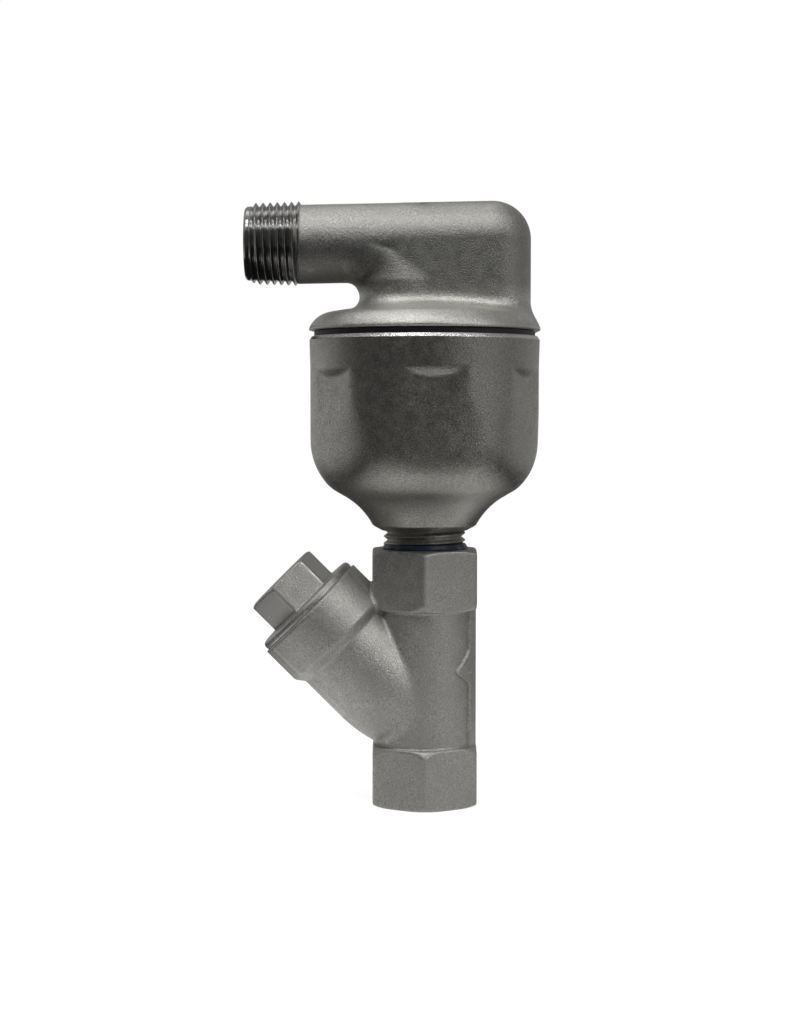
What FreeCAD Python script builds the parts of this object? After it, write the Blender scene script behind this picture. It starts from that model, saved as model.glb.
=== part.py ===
import FreeCAD, Part
import math
import os
from FreeCAD import Placement, Rotation, Vector

# An air release valve with a Y strainer under its float chamber. Sizes are in millimetres.
# The origin is the centre of the bottom pipe end, +Z runs up the main axis,
# and the outlet arm and the strainer's branch both lie towards -X.

os.makedirs("parts", exist_ok=True)

# Fits
thread_gap = 0.05
pin_gap = 0.06
loose_gap = 0.35
seat_gap = 0.1
stop_gap = 0.3

# How far a cutting shape runs past the face that it opens
past = 1.0

# Pipe threads, plain at their pitch line
pipe_pitch_r = 9.8
pipe_depth = 15.0
male_pipe_r = pipe_pitch_r - thread_gap

# Strainer body
strainer_h = 65.8
hex_af = 26.6
hex_h = 15.5
hex_outer_bevel = 1.0
hex_inner_bevel = 1.9
hex_inner_margin = 0.55
hex_face_margin = 0.4
barrel_set_back = 0.7
barrel_r = hex_af / 2 - barrel_set_back
passage_step = 2.3
passage_r = pipe_pitch_r - passage_step
rib_half_w = 5.3
arrow_half_w = 9.4
arrow_head_h = 5.3
arrow_base_h = 3.0
arrow_above_middle = 1.3
arrow_z = strainer_h / 2 + arrow_above_middle

# Strainer branch, measured from the point where its axis leaves the main axis
branch_z = 20.96
branch_tilt = 45.0
branch_root_t = -2.0
nose_r = 37.5
nose_end_t = 16.4
branch_r = 14.1
branch_wall = 3.3
collar_end_t = 41.0
collar_l = 11.8
collar_slope_l = 2.1
collar_start_t = collar_end_t - collar_l
collar_full_t = collar_start_t + collar_slope_l
chamber_r = branch_r - branch_wall
inlet_past_branch = 2.04
outlet_past_branch = 15.04
inlet_passage_top = branch_z + inlet_past_branch
outlet_passage_foot = branch_z + outlet_past_branch

# Plug and its thread
plug_thread_step = 1.0
plug_thread_r = chamber_r + plug_thread_step
plug_thread_depth = 9.5
plug_shank_l = 8.2
plug_lead = 0.5
collar_wall = 3.95
collar_r = plug_thread_r + collar_wall
plug_gasket_h = 0.8
plug_gasket_set_back = 1.15
plug_gasket_r = collar_r - plug_gasket_set_back
plug_flange_set_back = 0.65
plug_flange_r = collar_r - plug_flange_set_back
plug_flange_h = 1.9
plug_flange_round = 0.6
plug_head_af = 18.45
plug_head_h = 8.8
plug_head_bevel = 0.7
plug_head_turn = 17.0
plug_face_t = collar_end_t + plug_gasket_h

# Screen
screen_room = 2.2
screen_r = chamber_r - screen_room
screen_wall = 0.6
screen_seat_t = 6.0
screen_seat_depth = 2.0
chamber_start_t = screen_seat_t + screen_seat_depth
screen_end_drop = 5.0
screen_end_t = collar_end_t - screen_end_drop
screen_play = 0.3
screen_ring_w = 1.6
screen_ring_wall = 0.7
hole_columns = 10
hole_rows = 4
hole_r = 1.7

# Float
float_r = 17.5
float_wall = 0.5
weld_w = 2.4
weld_h = 0.5
boss_r = 4.0
boss_h = 1.3
stud_r = 1.5
stud_end = 2.6
nut_af = 5.5
nut_h = 2.4
lock_washer_r = 2.7
lock_washer_h = 0.6

# Float bowl, which the float sets the size of
bowl_wall = 2.7
float_side_gap = 9.0
bowl_side_r = float_r + float_side_gap + bowl_wall
band_proud = 0.2
bowl_band_r = bowl_side_r + band_proud
band_step_h = 1.0
nipple_shown = 4.7
nipple_engaged = 11.0
nipple_wall = 3.0
nipple_bore_r = male_pipe_r - nipple_wall
bowl_foot_z = strainer_h + nipple_shown
bowl_room_h = 14.5
bowl_top_z = bowl_foot_z + 2 * float_r + bowl_room_h
foot_step = 1.15
bowl_foot_r = male_pipe_r + foot_step
bowl_foot_bevel_w = 1.85
bowl_foot_bevel_h = 1.0
bowl_foot_bevel_r = bowl_foot_r + bowl_foot_bevel_w
bowl_foot_lip = 0.4
belly_rise = 5.6
belly_z = bowl_foot_z + float_r + belly_rise
belly_r = 17.0
belly_end_angle = 40.0
knuckle_r = 10.0
flare_angle = 60.0
flare_line = 2.5
flare_r = 18.5
funnel_rise = 4.5
funnel_z = bowl_foot_z + funnel_rise
rim_bevel_w = 0.5
rim_bevel_h = 0.6
wrench_depth = 1.25
wrench_af = 2 * (bowl_side_r - wrench_depth)
wrench_count = 6
wrench_turn = 3.9
ledge_drop = 7.8
ledge_top_z = bowl_top_z - ledge_drop
ledge_h = 3.1

# Cover
seam_h = 1.2
cover_gasket_set_back = 1.0
cover_gasket_r = bowl_side_r - cover_gasket_set_back
cover_overhang = 0.4
cover_r = bowl_side_r + cover_overhang
cover_edge_h = 0.6
dome_round = 6.7
dome_from_angle = 20.0
dome_to_angle = 80.0
spigot_l = 9.2
spigot_wall = 3.4
spigot_r = bowl_side_r - bowl_wall - thread_gap
deck_drop = 0.3
dome_relief = 2.0
flange_z = bowl_top_z + seam_h
deck_z = flange_z + deck_drop

# Head and outlet arm
head_r = 10.05
head_set_back = 2.5
head_l = 22.75
head_right_x = cover_r - head_set_back - head_r
head_left_x = head_right_x - head_l
head_axis_rise = 23.2
head_axis_z = flange_z + head_axis_rise
head_fillet = 2.5
core_wall = 3.3
core_floor_rise = 9.8
core_floor_z = flange_z + core_floor_rise
arm_step = 0.05
arm_r = head_r - arm_step
arm_slope = 1.13
arm_l = 25.8
arm_end_x = head_left_x - arm_l
arm_bend_inner_r = 4.5
arm_lip = 0.3
outlet_l = 14.1
outlet_end_x = arm_end_x - outlet_l
outlet_drop = 0.8
outlet_axis_z = head_axis_z - outlet_drop
outlet_wall = 3.15
outlet_bore_r = male_pipe_r - outlet_wall
outlet_bevel = 1.0

# Seat bushing
seat_set_back = 7.05
seat_x = head_right_x - seat_set_back
seat_drop = 3.5
nozzle_z = deck_z - seat_drop
seat_hex_af = 10.0
seat_hex_h = 2.2
seat_washer_h = 0.5
seat_washer_margin = 0.2
seat_washer_r = seat_hex_af / math.sqrt(3) + seat_washer_margin
seat_shank_r = 4.0
seat_shank_l = 6.5
seat_nozzle_r = 2.4
seat_orifice_r = 1.2
seat_bore_r = 2.3

# Valve plunger
valve_arm = 7.0
valve_pin_r = 0.8
slot_play = 0.3
cup_r = 2.0
cup_wall = 0.6
cup_depth = 1.0
stem_r = cup_r + cup_wall
stem_foot = 1.6
disc_h = 1.6

# Lever
sheet = 0.8
swing = 10.0
stem_side_gap = 0.7
lever_half_w = stem_r + stem_side_gap + sheet
lever_half_h = 2.2
lever_tail = 2.4
lever_horn_w = 2.2
lever_tip = 4.0
lever_web_gap = 1.9
lever_web_back = valve_arm + stem_r + lever_web_gap
lever_side_gap = 0.5

# Pivot, which hangs the float on the main axis
pivot_r = 1.25
pivot_head_r = 2.2
pivot_head_h = 0.9
pivot_tail = 1.6
pivot_drop = 7.1
pivot_x = seat_x + valve_arm
pivot_z = deck_z - pivot_drop
float_arm = pivot_x
float_drop = float_r + boss_h + lever_half_h
clip_h = 0.6
clip_r = 2.3
clip_groove = 0.25

# Lever bracket
washer_h = 0.6
washer_r = 2.6
screw_r = 1.5
screw_head_r = 2.7
screw_head_h = 1.9
screw_grip = 3.6
screw_slot_w = 0.7
screw_slot_h = 0.8
web_hole_gap = 0.6
web_hole_r = seat_washer_r + web_hole_gap
screw_y = web_hole_r + washer_r
web_half_l = 5.0
web_margin = 2.8
web_half_w = screw_y + web_margin
web_z = deck_z - sheet
ear_inner_y = lever_half_w + lever_side_gap
ear_half_l = 3.4
pad_l = 9.0
pad_margin = 1.0

# Sealant
sealant_proud = 1.3
sealant_r = pipe_pitch_r + sealant_proud
sealant_h = 1.6


def line(a, b):
    return Part.LineSegment(Vector(a[0], 0, a[1]), Vector(b[0], 0, b[1])).toShape()


def bend(centre, radius, start, end):
    """An arc in the XZ plane, its angles in degrees from +X towards +Z."""

    def at(angle):
        turn = math.radians(angle)
        return Vector(centre[0] + radius * math.cos(turn), 0, centre[1] + radius * math.sin(turn))

    return Part.Arc(at(start), at((start + end) / 2), at(end)).toShape()


def polar(centre, radius, angle):
    turn = math.radians(angle)
    return (centre[0] + radius * math.cos(turn), centre[1] + radius * math.sin(turn))


def filled(edges):
    return Part.Face(Part.Wire(Part.__sortEdges__(edges)))


def outline(points):
    return [line(a, b) for a, b in zip(points, points[1:] + points[:1])]


def turned(edges):
    return filled(edges).revolve(Vector(0, 0, 0), Vector(0, 0, 1), 360)


def turned_outline(points):
    return turned(outline(points))


def drum(radius, low, high, x=0.0, y=0.0):
    return Part.makeCylinder(radius, high - low, Vector(x, y, low))


def tube(outer, inner, low, high, x=0.0, y=0.0):
    return drum(outer, low, high, x, y).cut(drum(inner, low - past, high + past, x, y))


def cross_pin(radius, low_y, high_y, x, z):
    return Part.makeCylinder(radius, high_y - low_y, Vector(x, low_y, z), Vector(0, 1, 0))


def block(low, high):
    size = [b - a for a, b in zip(low, high)]
    return Part.makeBox(size[0], size[1], size[2], Vector(*low))


def hexagon(flats, low, high, first=30.0, sides=6):
    """An even prism about Z with a corner at the angle called first."""
    corner_r = flats / 2 / math.cos(math.pi / sides)
    angles = [math.radians(first + 360.0 / sides * i) for i in range(sides)]
    corners = [Vector(corner_r * math.cos(a), corner_r * math.sin(a), low) for a in angles]
    face = Part.Face(Part.makePolygon(corners + corners[:1]))
    return face.extrude(Vector(0, 0, high - low))


def bevelled_hexagon(flats, low, high, low_bevel, high_bevel, low_r, high_r, first=30.0):
    """A hexagon whose corners run down to a round edge of low_r and high_r at its ends."""
    corner_r = flats / math.sqrt(3) + 0.1
    cone = turned_outline([
        (0, low), (low_r, low), (corner_r, low + low_bevel),
        (corner_r, high - high_bevel), (high_r, high), (0, high),
    ])
    return hexagon(flats, low, high, first).common(cone)


def on_branch(shape):
    """Puts a shape modelled about Z on the branch axis."""
    placed = shape.copy()
    turn = Rotation(Vector(0, 1, 0), -branch_tilt)
    placed.Placement = Placement(Vector(0, 0, branch_z), turn).multiply(placed.Placement)
    return placed


def on_lever(shape):
    """Puts a shape modelled about the pivot in the lever's place at rest."""
    placed = shape.copy()
    turn = Rotation(Vector(0, 1, 0), -swing / 2)
    placed.Placement = Placement(Vector(pivot_x, 0, pivot_z), turn).multiply(placed.Placement)
    return placed


def branch_outside():
    nose_centre = (branch_r - nose_r, nose_end_t)
    root_angle = -math.degrees(math.asin((nose_end_t - branch_root_t) / nose_r))
    root = polar(nose_centre, nose_r, root_angle)
    edges = [
        bend(nose_centre, nose_r, root_angle, 0),
        line((branch_r, nose_end_t), (branch_r, collar_start_t)),
        line((branch_r, collar_start_t), (collar_r, collar_full_t)),
        line((collar_r, collar_full_t), (collar_r, collar_end_t)),
        line((collar_r, collar_end_t), (0, collar_end_t)),
        line((0, collar_end_t), (0, branch_root_t)),
        line((0, branch_root_t), root),
    ]
    return on_branch(turned(edges))


def flow_rib():
    """The flush rib on the +X side, widened to the flow arrow."""
    face_x = hex_af / 2
    low = hex_h
    high = strainer_h - hex_h
    half = [
        (rib_half_w, low), (rib_half_w, arrow_z - arrow_base_h),
        (arrow_half_w, arrow_z), (rib_half_w, arrow_z + arrow_head_h), (rib_half_w, high),
    ]
    points = half + [(-y, z) for y, z in reversed(half)]
    corners = [Vector(0, y, z) for y, z in points]
    return Part.Face(Part.makePolygon(corners + corners[:1])).extrude(Vector(face_x, 0, 0))


def strainer_body():
    edge_r = hex_af / 2 + hex_face_margin
    inner_r = hex_af / 2 + hex_inner_margin
    top_start = strainer_h - hex_h
    hex_foot = bevelled_hexagon(hex_af, 0, hex_h, hex_outer_bevel, hex_inner_bevel, edge_r, inner_r)
    hex_top = bevelled_hexagon(
        hex_af, top_start, strainer_h, hex_inner_bevel, hex_outer_bevel, inner_r, edge_r
    )
    barrel = drum(barrel_r, hex_h / 2, strainer_h - hex_h / 2)
    outside = hex_foot.fuse([hex_top, barrel, flow_rib(), branch_outside()]).removeSplitter()
    hollows = [
        drum(pipe_pitch_r, -past, pipe_depth),
        drum(pipe_pitch_r, strainer_h - pipe_depth, strainer_h + past),
        drum(passage_r, pipe_depth - past, inlet_passage_top),
        drum(passage_r, outlet_passage_foot, strainer_h - pipe_depth + past),
        on_branch(drum(screen_r - screen_wall - screen_ring_wall, 0, screen_seat_t + past)),
        on_branch(drum(screen_r + thread_gap, screen_seat_t, chamber_start_t + past)),
        on_branch(drum(chamber_r, chamber_start_t, collar_end_t)),
        on_branch(drum(plug_thread_r, collar_end_t - plug_thread_depth, collar_end_t + past)),
    ]
    return outside.cut(hollows)


def strainer_screen():
    sleeve = tube(screen_r, screen_r - screen_wall, screen_seat_t, screen_end_t)
    first = chamber_start_t + hole_r * 2
    last = collar_end_t - plug_shank_l - hole_r * 2
    step = (last - first) / (hole_rows - 1)
    bars = []
    for row in range(hole_rows):
        for column in range(hole_columns // 2):
            angle = (column + 0.5 * (row % 2)) * 360.0 / hole_columns
            bar = hexagon(hole_r * math.sqrt(3), -screen_r - past, screen_r + past)
            bar.rotate(Vector(0, 0, 0), Vector(0, 1, 0), 90)
            bar.rotate(Vector(0, 0, 0), Vector(0, 0, 1), angle)
            bar.translate(Vector(0, 0, first + row * step))
            bars.append(bar)
    return on_branch(sleeve.cut(bars))


def screen_end_ring():
    outer = screen_r - screen_wall
    return on_branch(tube(outer, outer - screen_ring_wall, screen_end_t - screen_ring_w, screen_end_t))


def strainer_plug():
    shank_r = plug_thread_r - thread_gap
    shank_t = collar_end_t - plug_shank_l
    top = plug_face_t + plug_flange_h
    rim = plug_flange_r - plug_flange_round
    edges = [
        line((0, shank_t), (shank_r - plug_lead, shank_t)),
        line((shank_r - plug_lead, shank_t), (shank_r, shank_t + plug_lead)),
        line((shank_r, shank_t + plug_lead), (shank_r, plug_face_t)),
        line((shank_r, plug_face_t), (plug_flange_r, plug_face_t)),
        line((plug_flange_r, plug_face_t), (plug_flange_r, top - plug_flange_round)),
        bend((rim, top - plug_flange_round), plug_flange_round, 0, 90),
        line((rim, top), (0, top)),
        line((0, top), (0, shank_t)),
    ]
    head_top = top + plug_head_h
    corner = -90.0 - plug_head_turn
    bevel_r = plug_head_af / 2 + hex_face_margin
    head = bevelled_hexagon(
        plug_head_af, top - plug_flange_round, head_top, plug_flange_round, plug_head_bevel,
        plug_flange_r - plug_flange_round, bevel_r, corner,
    )
    recess = drum(screen_r + loose_gap, shank_t - past, screen_end_t + screen_play)
    return on_branch(turned(edges).fuse(head).removeSplitter().cut(recess))


def plug_gasket():
    return on_branch(tube(plug_gasket_r, plug_thread_r + loose_gap, collar_end_t, plug_face_t))


def bowl_curve(inset):
    """The bowl's side from the belly down to the flare, moved inwards by inset."""
    belly = (bowl_side_r - belly_r, belly_z)
    knuckle = polar(belly, belly_r - knuckle_r, -belly_end_angle)
    slant_top = polar(knuckle, knuckle_r, -flare_angle)
    turn = math.radians(flare_angle)
    slant_foot = (slant_top[0] - flare_line * math.sin(turn), slant_top[1] - flare_line * math.cos(turn))
    flare = polar(slant_foot, flare_r, -flare_angle)
    upper = polar(knuckle, knuckle_r - inset, -flare_angle)
    lower = polar(flare, flare_r + inset, 180 - flare_angle)
    edges = [
        bend(belly, belly_r - inset, 0, -belly_end_angle),
        bend(knuckle, knuckle_r - inset, -belly_end_angle, -flare_angle),
        line(upper, lower),
    ]
    return edges, flare, flare_r + inset


def flare_to(flare, radius, level):
    """The concave stretch down to a level, and the point where it ends."""
    end_angle = 180 - math.degrees(math.asin((level - flare[1]) / radius))
    return bend(flare, radius, 180 - flare_angle, end_angle), polar(flare, radius, end_angle)


def wrench_cutter():
    """What is cut away outside the six wrench flats, under a sloped ledge."""
    low = belly_z - belly_r
    flat_r = wrench_af / 2
    ring = drum(bowl_band_r + past, low, ledge_top_z)
    prism = hexagon(wrench_af, low - past, ledge_top_z + past, wrench_turn, wrench_count)
    slope = (bowl_band_r - flat_r) / ledge_h
    depth = flat_r / slope
    cone = turned_outline([
        (0, ledge_top_z + past), (bowl_band_r + slope * past, ledge_top_z + past),
        (flat_r, ledge_top_z - ledge_h), (0, ledge_top_z - ledge_h - depth),
    ])
    return ring.cut(prism.fuse(cone))


def float_bowl():
    nipple_z = strainer_h - nipple_engaged
    bevel_z = bowl_foot_z + bowl_foot_bevel_h
    rim_z = bowl_top_z - rim_bevel_h
    edges, flare, radius = bowl_curve(0)
    flare_edge, flare_end = flare_to(flare, radius, bevel_z + bowl_foot_lip)
    edges += [
        flare_edge,
        line(flare_end, (bowl_foot_bevel_r, bevel_z)),
        line((bowl_foot_bevel_r, bevel_z), (bowl_foot_r, bowl_foot_z)),
        line((bowl_foot_r, bowl_foot_z), (male_pipe_r, bowl_foot_z)),
        line((male_pipe_r, bowl_foot_z), (male_pipe_r, nipple_z)),
        line((male_pipe_r, nipple_z), (0, nipple_z)),
        line((0, nipple_z), (0, bowl_top_z)),
        line((0, bowl_top_z), (bowl_band_r - rim_bevel_w, bowl_top_z)),
        line((bowl_band_r - rim_bevel_w, bowl_top_z), (bowl_band_r, rim_z)),
        line((bowl_band_r, rim_z), (bowl_band_r, ledge_top_z)),
        line((bowl_band_r, ledge_top_z), (bowl_side_r, ledge_top_z - band_step_h)),
        line((bowl_side_r, ledge_top_z - band_step_h), (bowl_side_r, belly_z)),
    ]
    outside = turned(edges).cut(wrench_cutter())
    inner_r = bowl_side_r - bowl_wall
    hollow, flare, radius = bowl_curve(bowl_wall)
    flare_edge, flare_end = flare_to(flare, radius, funnel_z)
    hollow += [
        flare_edge,
        line(flare_end, (nipple_bore_r, bowl_foot_z)),
        line((nipple_bore_r, bowl_foot_z), (nipple_bore_r, nipple_z - past)),
        line((nipple_bore_r, nipple_z - past), (0, nipple_z - past)),
        line((0, nipple_z - past), (0, bowl_top_z + past)),
        line((0, bowl_top_z + past), (inner_r, bowl_top_z + past)),
        line((inner_r, bowl_top_z + past), (inner_r, belly_z)),
    ]
    return outside.cut(turned(hollow))


def thread_sealant():
    return turned_outline([
        (male_pipe_r, strainer_h), (sealant_r, strainer_h),
        (sealant_r, strainer_h + sealant_h / 2), (male_pipe_r, strainer_h + sealant_h),
    ])


def cover_gasket():
    return tube(cover_gasket_r, spigot_r + thread_gap, bowl_top_z, flange_z)


def dome():
    edge_z = flange_z + cover_edge_h
    start = math.radians(dome_from_angle)
    round_centre = (cover_r - dome_round * math.cos(start), edge_z - dome_round * math.sin(start))
    shoulder = polar(round_centre, dome_round, dome_to_angle)
    crown_r = shoulder[0] / math.cos(math.radians(dome_to_angle))
    crown_centre = (0, shoulder[1] - crown_r * math.sin(math.radians(dome_to_angle)))
    crown = (0, crown_centre[1] + crown_r)
    edges = [
        line((0, flange_z), (cover_r, flange_z)),
        line((cover_r, flange_z), (cover_r, edge_z)),
        bend(round_centre, dome_round, dome_from_angle, dome_to_angle),
        bend(crown_centre, crown_r, dome_to_angle, 90),
        line(crown, (0, flange_z)),
    ]
    return turned(edges), crown[1]


def arm_axis(x):
    return head_axis_z - math.tan(math.radians(arm_slope)) * (head_right_x - x)


def arched_block(radius, floor_z):
    """The head's form: upright sides, a round top along the sloping axis and round ends."""
    right_z = arm_axis(head_right_x)
    left_z = arm_axis(head_left_x)
    slope = Vector(head_left_x - head_right_x, 0, left_z - right_z)
    foot_z = floor_z + 2 * slope.z
    x = head_right_x
    top = Part.Arc(
        Vector(x, -radius, right_z), Vector(x, 0, right_z + radius), Vector(x, radius, right_z)
    ).toShape()
    sides = Part.makePolygon([
        Vector(x, radius, right_z), Vector(x, radius, foot_z),
        Vector(x, -radius, foot_z), Vector(x, -radius, right_z),
    ])
    section = Part.Face(Part.Wire([top] + sides.Edges))
    middle = section.extrude(slope)
    half_end = [
        bend((0, right_z), radius, 0, 90),
        line((0, right_z + radius), (0, foot_z)),
        line((0, foot_z), (radius, foot_z)),
        line((radius, foot_z), (radius, right_z)),
    ]
    right_end = turned(half_end)
    right_end.translate(Vector(head_right_x, 0, 0))
    left_end = drum(radius, foot_z, left_z, head_left_x)
    joined = middle.fuse([right_end, left_end]).removeSplitter()
    over = head_right_x + radius + past
    trim = block((-over, -over, foot_z + slope.z - past), (over, over, floor_z))
    return joined.cut(trim)


def arm():
    """The sloping arm and the torus bend that rounds the corner under it."""
    root = Vector(seat_x, 0, arm_axis(seat_x))
    corner = Vector(head_left_x, 0, arm_axis(head_left_x))
    end = Vector(arm_end_x, 0, arm_axis(arm_end_x))
    along = (end - root).normalize()
    lip_start = end - along * arm_lip
    straight = Part.makeCylinder(arm_r, (lip_start - root).Length, root, along)
    lip = Part.makeCone(arm_r, male_pipe_r, arm_lip, lip_start, along)
    opening = math.radians(90 - arm_slope)
    bend_r = arm_r + arm_bend_inner_r
    inwards = (along + Vector(0, 0, -1)).normalize()
    centre = corner + inwards * (bend_r / math.sin(opening / 2))
    start = corner + along * (bend_r / math.tan(opening / 2))
    circle = Part.Face(Part.Wire(Part.makeCircle(arm_r, start, along)))
    elbow = circle.revolve(centre, Vector(0, 1, 0), 90 + arm_slope)
    return straight.fuse([lip, elbow])


def head_to_dome(edge, crown_z):
    """True for the edges where the head meets the dome."""
    box = edge.BoundBox
    on_top = box.ZMax < crown_z + seat_gap and box.ZMin > flange_z + cover_edge_h + past
    return on_top and box.XMax < cover_r and box.YMax < head_r + past


def cover_casting():
    crown, crown_z = dome()
    head = arched_block(head_r, flange_z + cover_edge_h)
    outside = crown.fuse(head).removeSplitter()
    foot_edges = [e for e in outside.Edges if head_to_dome(e, crown_z)]
    outside = outside.makeFillet(head_fillet, foot_edges).fuse(arm())
    outlet = turned_outline([
        (0, 0), (male_pipe_r - outlet_bevel, 0), (male_pipe_r, outlet_bevel),
        (male_pipe_r, outlet_l + past), (0, outlet_l + past),
    ])
    outlet.rotate(Vector(0, 0, 0), Vector(0, 1, 0), 90)
    outlet.translate(Vector(outlet_end_x, 0, outlet_axis_z))
    spigot = drum(spigot_r, flange_z - spigot_l, flange_z + cover_edge_h)
    outside = outside.fuse([outlet, spigot]).removeSplitter()
    cavity_r = spigot_r - spigot_wall
    relief = drum(cavity_r, flange_z - spigot_l - past, deck_z + dome_relief)
    pad_half_w = web_half_w + pad_margin
    pad_top = deck_z + dome_relief + past
    pad = block((seat_x - pad_l, -pad_half_w, deck_z), (cavity_r + past, pad_half_w, pad_top))
    bore_start = Vector(outlet_end_x - past, 0, outlet_axis_z)
    bore = Part.makeCylinder(outlet_bore_r, head_right_x - bore_start.x, bore_start, Vector(1, 0, 0))
    hollows = [
        relief.cut(pad),
        arched_block(head_r - core_wall, core_floor_z),
        bore,
        drum(seat_bore_r, deck_z - past, core_floor_z + past, seat_x),
        drum(seat_shank_r + thread_gap, deck_z - past, deck_z + seat_shank_l + loose_gap, seat_x),
    ]
    for side in (-1, 1):
        depth = deck_z + screw_grip + loose_gap
        hollows.append(drum(screw_r + thread_gap, deck_z - past, depth, seat_x, side * screw_y))
    return outside.cut(hollows)


def seat_bushing():
    hex_top = deck_z - seat_washer_h
    shank = drum(seat_shank_r, hex_top, deck_z + seat_shank_l, seat_x)
    hex_part = hexagon(seat_hex_af, hex_top - seat_hex_h, hex_top)
    hex_part.translate(Vector(seat_x, 0, 0))
    nozzle = drum(seat_nozzle_r, nozzle_z, hex_top, seat_x)
    solid = shank.fuse([hex_part, nozzle]).removeSplitter()
    orifice = drum(seat_orifice_r, nozzle_z - past, hex_top, seat_x)
    wide = drum(seat_bore_r, hex_top - seat_hex_h / 2, deck_z + seat_shank_l + past, seat_x)
    return solid.cut([orifice, wide])


def seat_washer():
    return tube(seat_washer_r, seat_shank_r + thread_gap, deck_z - seat_washer_h, deck_z, seat_x)


def lever_bracket():
    ear_outer_y = ear_inner_y + sheet
    web_back = seat_x - web_half_l
    web = block((web_back, -web_half_w, web_z), (seat_x + web_half_l, web_half_w, deck_z))
    neck = block((web_back, -ear_outer_y, web_z), (pivot_x + ear_half_l, ear_outer_y, deck_z))
    solid = web.fuse(neck)
    for side in (-1, 1):
        low_y = min(side * ear_inner_y, side * ear_outer_y)
        cheek = block(
            (pivot_x - ear_half_l, low_y, pivot_z), (pivot_x + ear_half_l, low_y + sheet, deck_z)
        )
        toe = cross_pin(ear_half_l, low_y, low_y + sheet, pivot_x, pivot_z)
        solid = solid.fuse([cheek, toe])
    solid = solid.removeSplitter()
    holes = [
        drum(web_hole_r, web_z - past, deck_z + past, seat_x),
        cross_pin(pivot_r + thread_gap, -ear_outer_y - past, ear_outer_y + past, pivot_x, pivot_z),
    ]
    for side in (-1, 1):
        holes.append(drum(screw_r + thread_gap, web_z - past, deck_z + past, seat_x, side * screw_y))
    return solid.cut(holes)


def bracket_screw(side):
    head_z = web_z - washer_h
    shank = drum(screw_r, head_z, deck_z + screw_grip, seat_x, side * screw_y)
    head = drum(screw_head_r, head_z - screw_head_h, head_z, seat_x, side * screw_y)
    reach = screw_head_r + past
    face_z = head_z - screw_head_h
    slot = block(
        (seat_x - reach, side * screw_y - screw_slot_w / 2, face_z - past),
        (seat_x + reach, side * screw_y + screw_slot_w / 2, face_z + screw_slot_h),
    )
    return shank.fuse(head).removeSplitter().cut(slot)


def bracket_screws():
    return Part.makeCompound([bracket_screw(side) for side in (-1, 1)])


def bracket_washers():
    rings = [
        tube(washer_r, screw_r + thread_gap, web_z - washer_h, web_z, seat_x, side * screw_y)
        for side in (-1, 1)
    ]
    return Part.makeCompound(rings)


def pivot_pin():
    ear_outer_y = ear_inner_y + sheet
    tail_y = ear_outer_y + pivot_tail
    shank = cross_pin(pivot_r, -ear_outer_y, tail_y, pivot_x, pivot_z)
    head = cross_pin(pivot_head_r, -ear_outer_y - pivot_head_h, -ear_outer_y, pivot_x, pivot_z)
    groove_y = ear_outer_y + clip_groove
    groove = cross_pin(pivot_r + past, groove_y, groove_y + clip_h, pivot_x, pivot_z)
    core = cross_pin(pivot_r - clip_groove, ear_outer_y, tail_y, pivot_x, pivot_z)
    return shank.fuse(head).removeSplitter().cut(groove.cut(core))


def pivot_clip():
    low_y = ear_inner_y + sheet + clip_groove
    high_y = low_y + clip_h
    ring = cross_pin(clip_r, low_y, high_y, pivot_x, pivot_z)
    hole = cross_pin(pivot_r - clip_groove, low_y - past, high_y + past, pivot_x, pivot_z)
    mouth = block(
        (pivot_x, low_y - past, pivot_z - pivot_r / 2),
        (pivot_x + clip_r + past, high_y + past, pivot_z + pivot_r / 2),
    )
    return ring.cut([hole, mouth])


def float_lever():
    half_swing = math.radians(swing / 2)
    horn_z = (web_z - stop_gap - pivot_z - lever_tail * math.sin(half_swing)) / math.cos(half_swing)
    tip_x = -float_arm - lever_tip
    side_points = [
        (tip_x, -lever_half_h), (lever_tail, -lever_half_h), (lever_tail, horn_z),
        (lever_tail - lever_horn_w, horn_z), (-lever_horn_w, lever_half_h), (tip_x, lever_half_h),
    ]
    inner_y = lever_half_w - sheet
    plate = filled(outline(side_points))
    web_top = sheet - lever_half_h
    solid = block((tip_x, -lever_half_w, -lever_half_h), (-lever_web_back, lever_half_w, web_top))
    for low_y in (-lever_half_w, inner_y):
        side = plate.extrude(Vector(0, sheet, 0))
        side.translate(Vector(0, low_y, 0))
        solid = solid.fuse(side)
    slot_r = valve_pin_r + pin_gap
    reach = lever_half_w + past
    holes = [
        cross_pin(pivot_r + pin_gap, -reach, reach, 0, 0),
        cross_pin(slot_r, -reach, reach, -valve_arm - slot_play, 0),
        cross_pin(slot_r, -reach, reach, -valve_arm + slot_play, 0),
        block((-valve_arm - slot_play, -reach, -slot_r), (-valve_arm + slot_play, reach, slot_r)),
        drum(stud_r + thread_gap, -lever_half_h - past, 0, -float_arm),
    ]
    return on_lever(solid.removeSplitter().cut(holes))


def plunger_rest_drop():
    """How far the plunger is below its shut place at rest."""
    return valve_arm * math.radians(swing)


def valve_pin_z():
    return pivot_z - valve_arm * math.sin(math.radians(swing / 2))


def disc_top_z():
    return nozzle_z - seat_gap - plunger_rest_drop()


def valve_stem():
    cup_top = disc_top_z() - disc_h + cup_depth
    stem = drum(stem_r, valve_pin_z() - valve_pin_r - stem_foot, cup_top, seat_x)
    cup = drum(cup_r, cup_top - cup_depth, cup_top + past, seat_x)
    cross = cross_pin(valve_pin_r, -stem_r - past, stem_r + past, seat_x, valve_pin_z())
    return stem.cut([cup, cross])


def valve_disc():
    return drum(cup_r, disc_top_z() - disc_h, disc_top_z(), seat_x)


def valve_pin():
    reach = lever_half_w + loose_gap
    return cross_pin(valve_pin_r, -reach, reach, seat_x, valve_pin_z())


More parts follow.
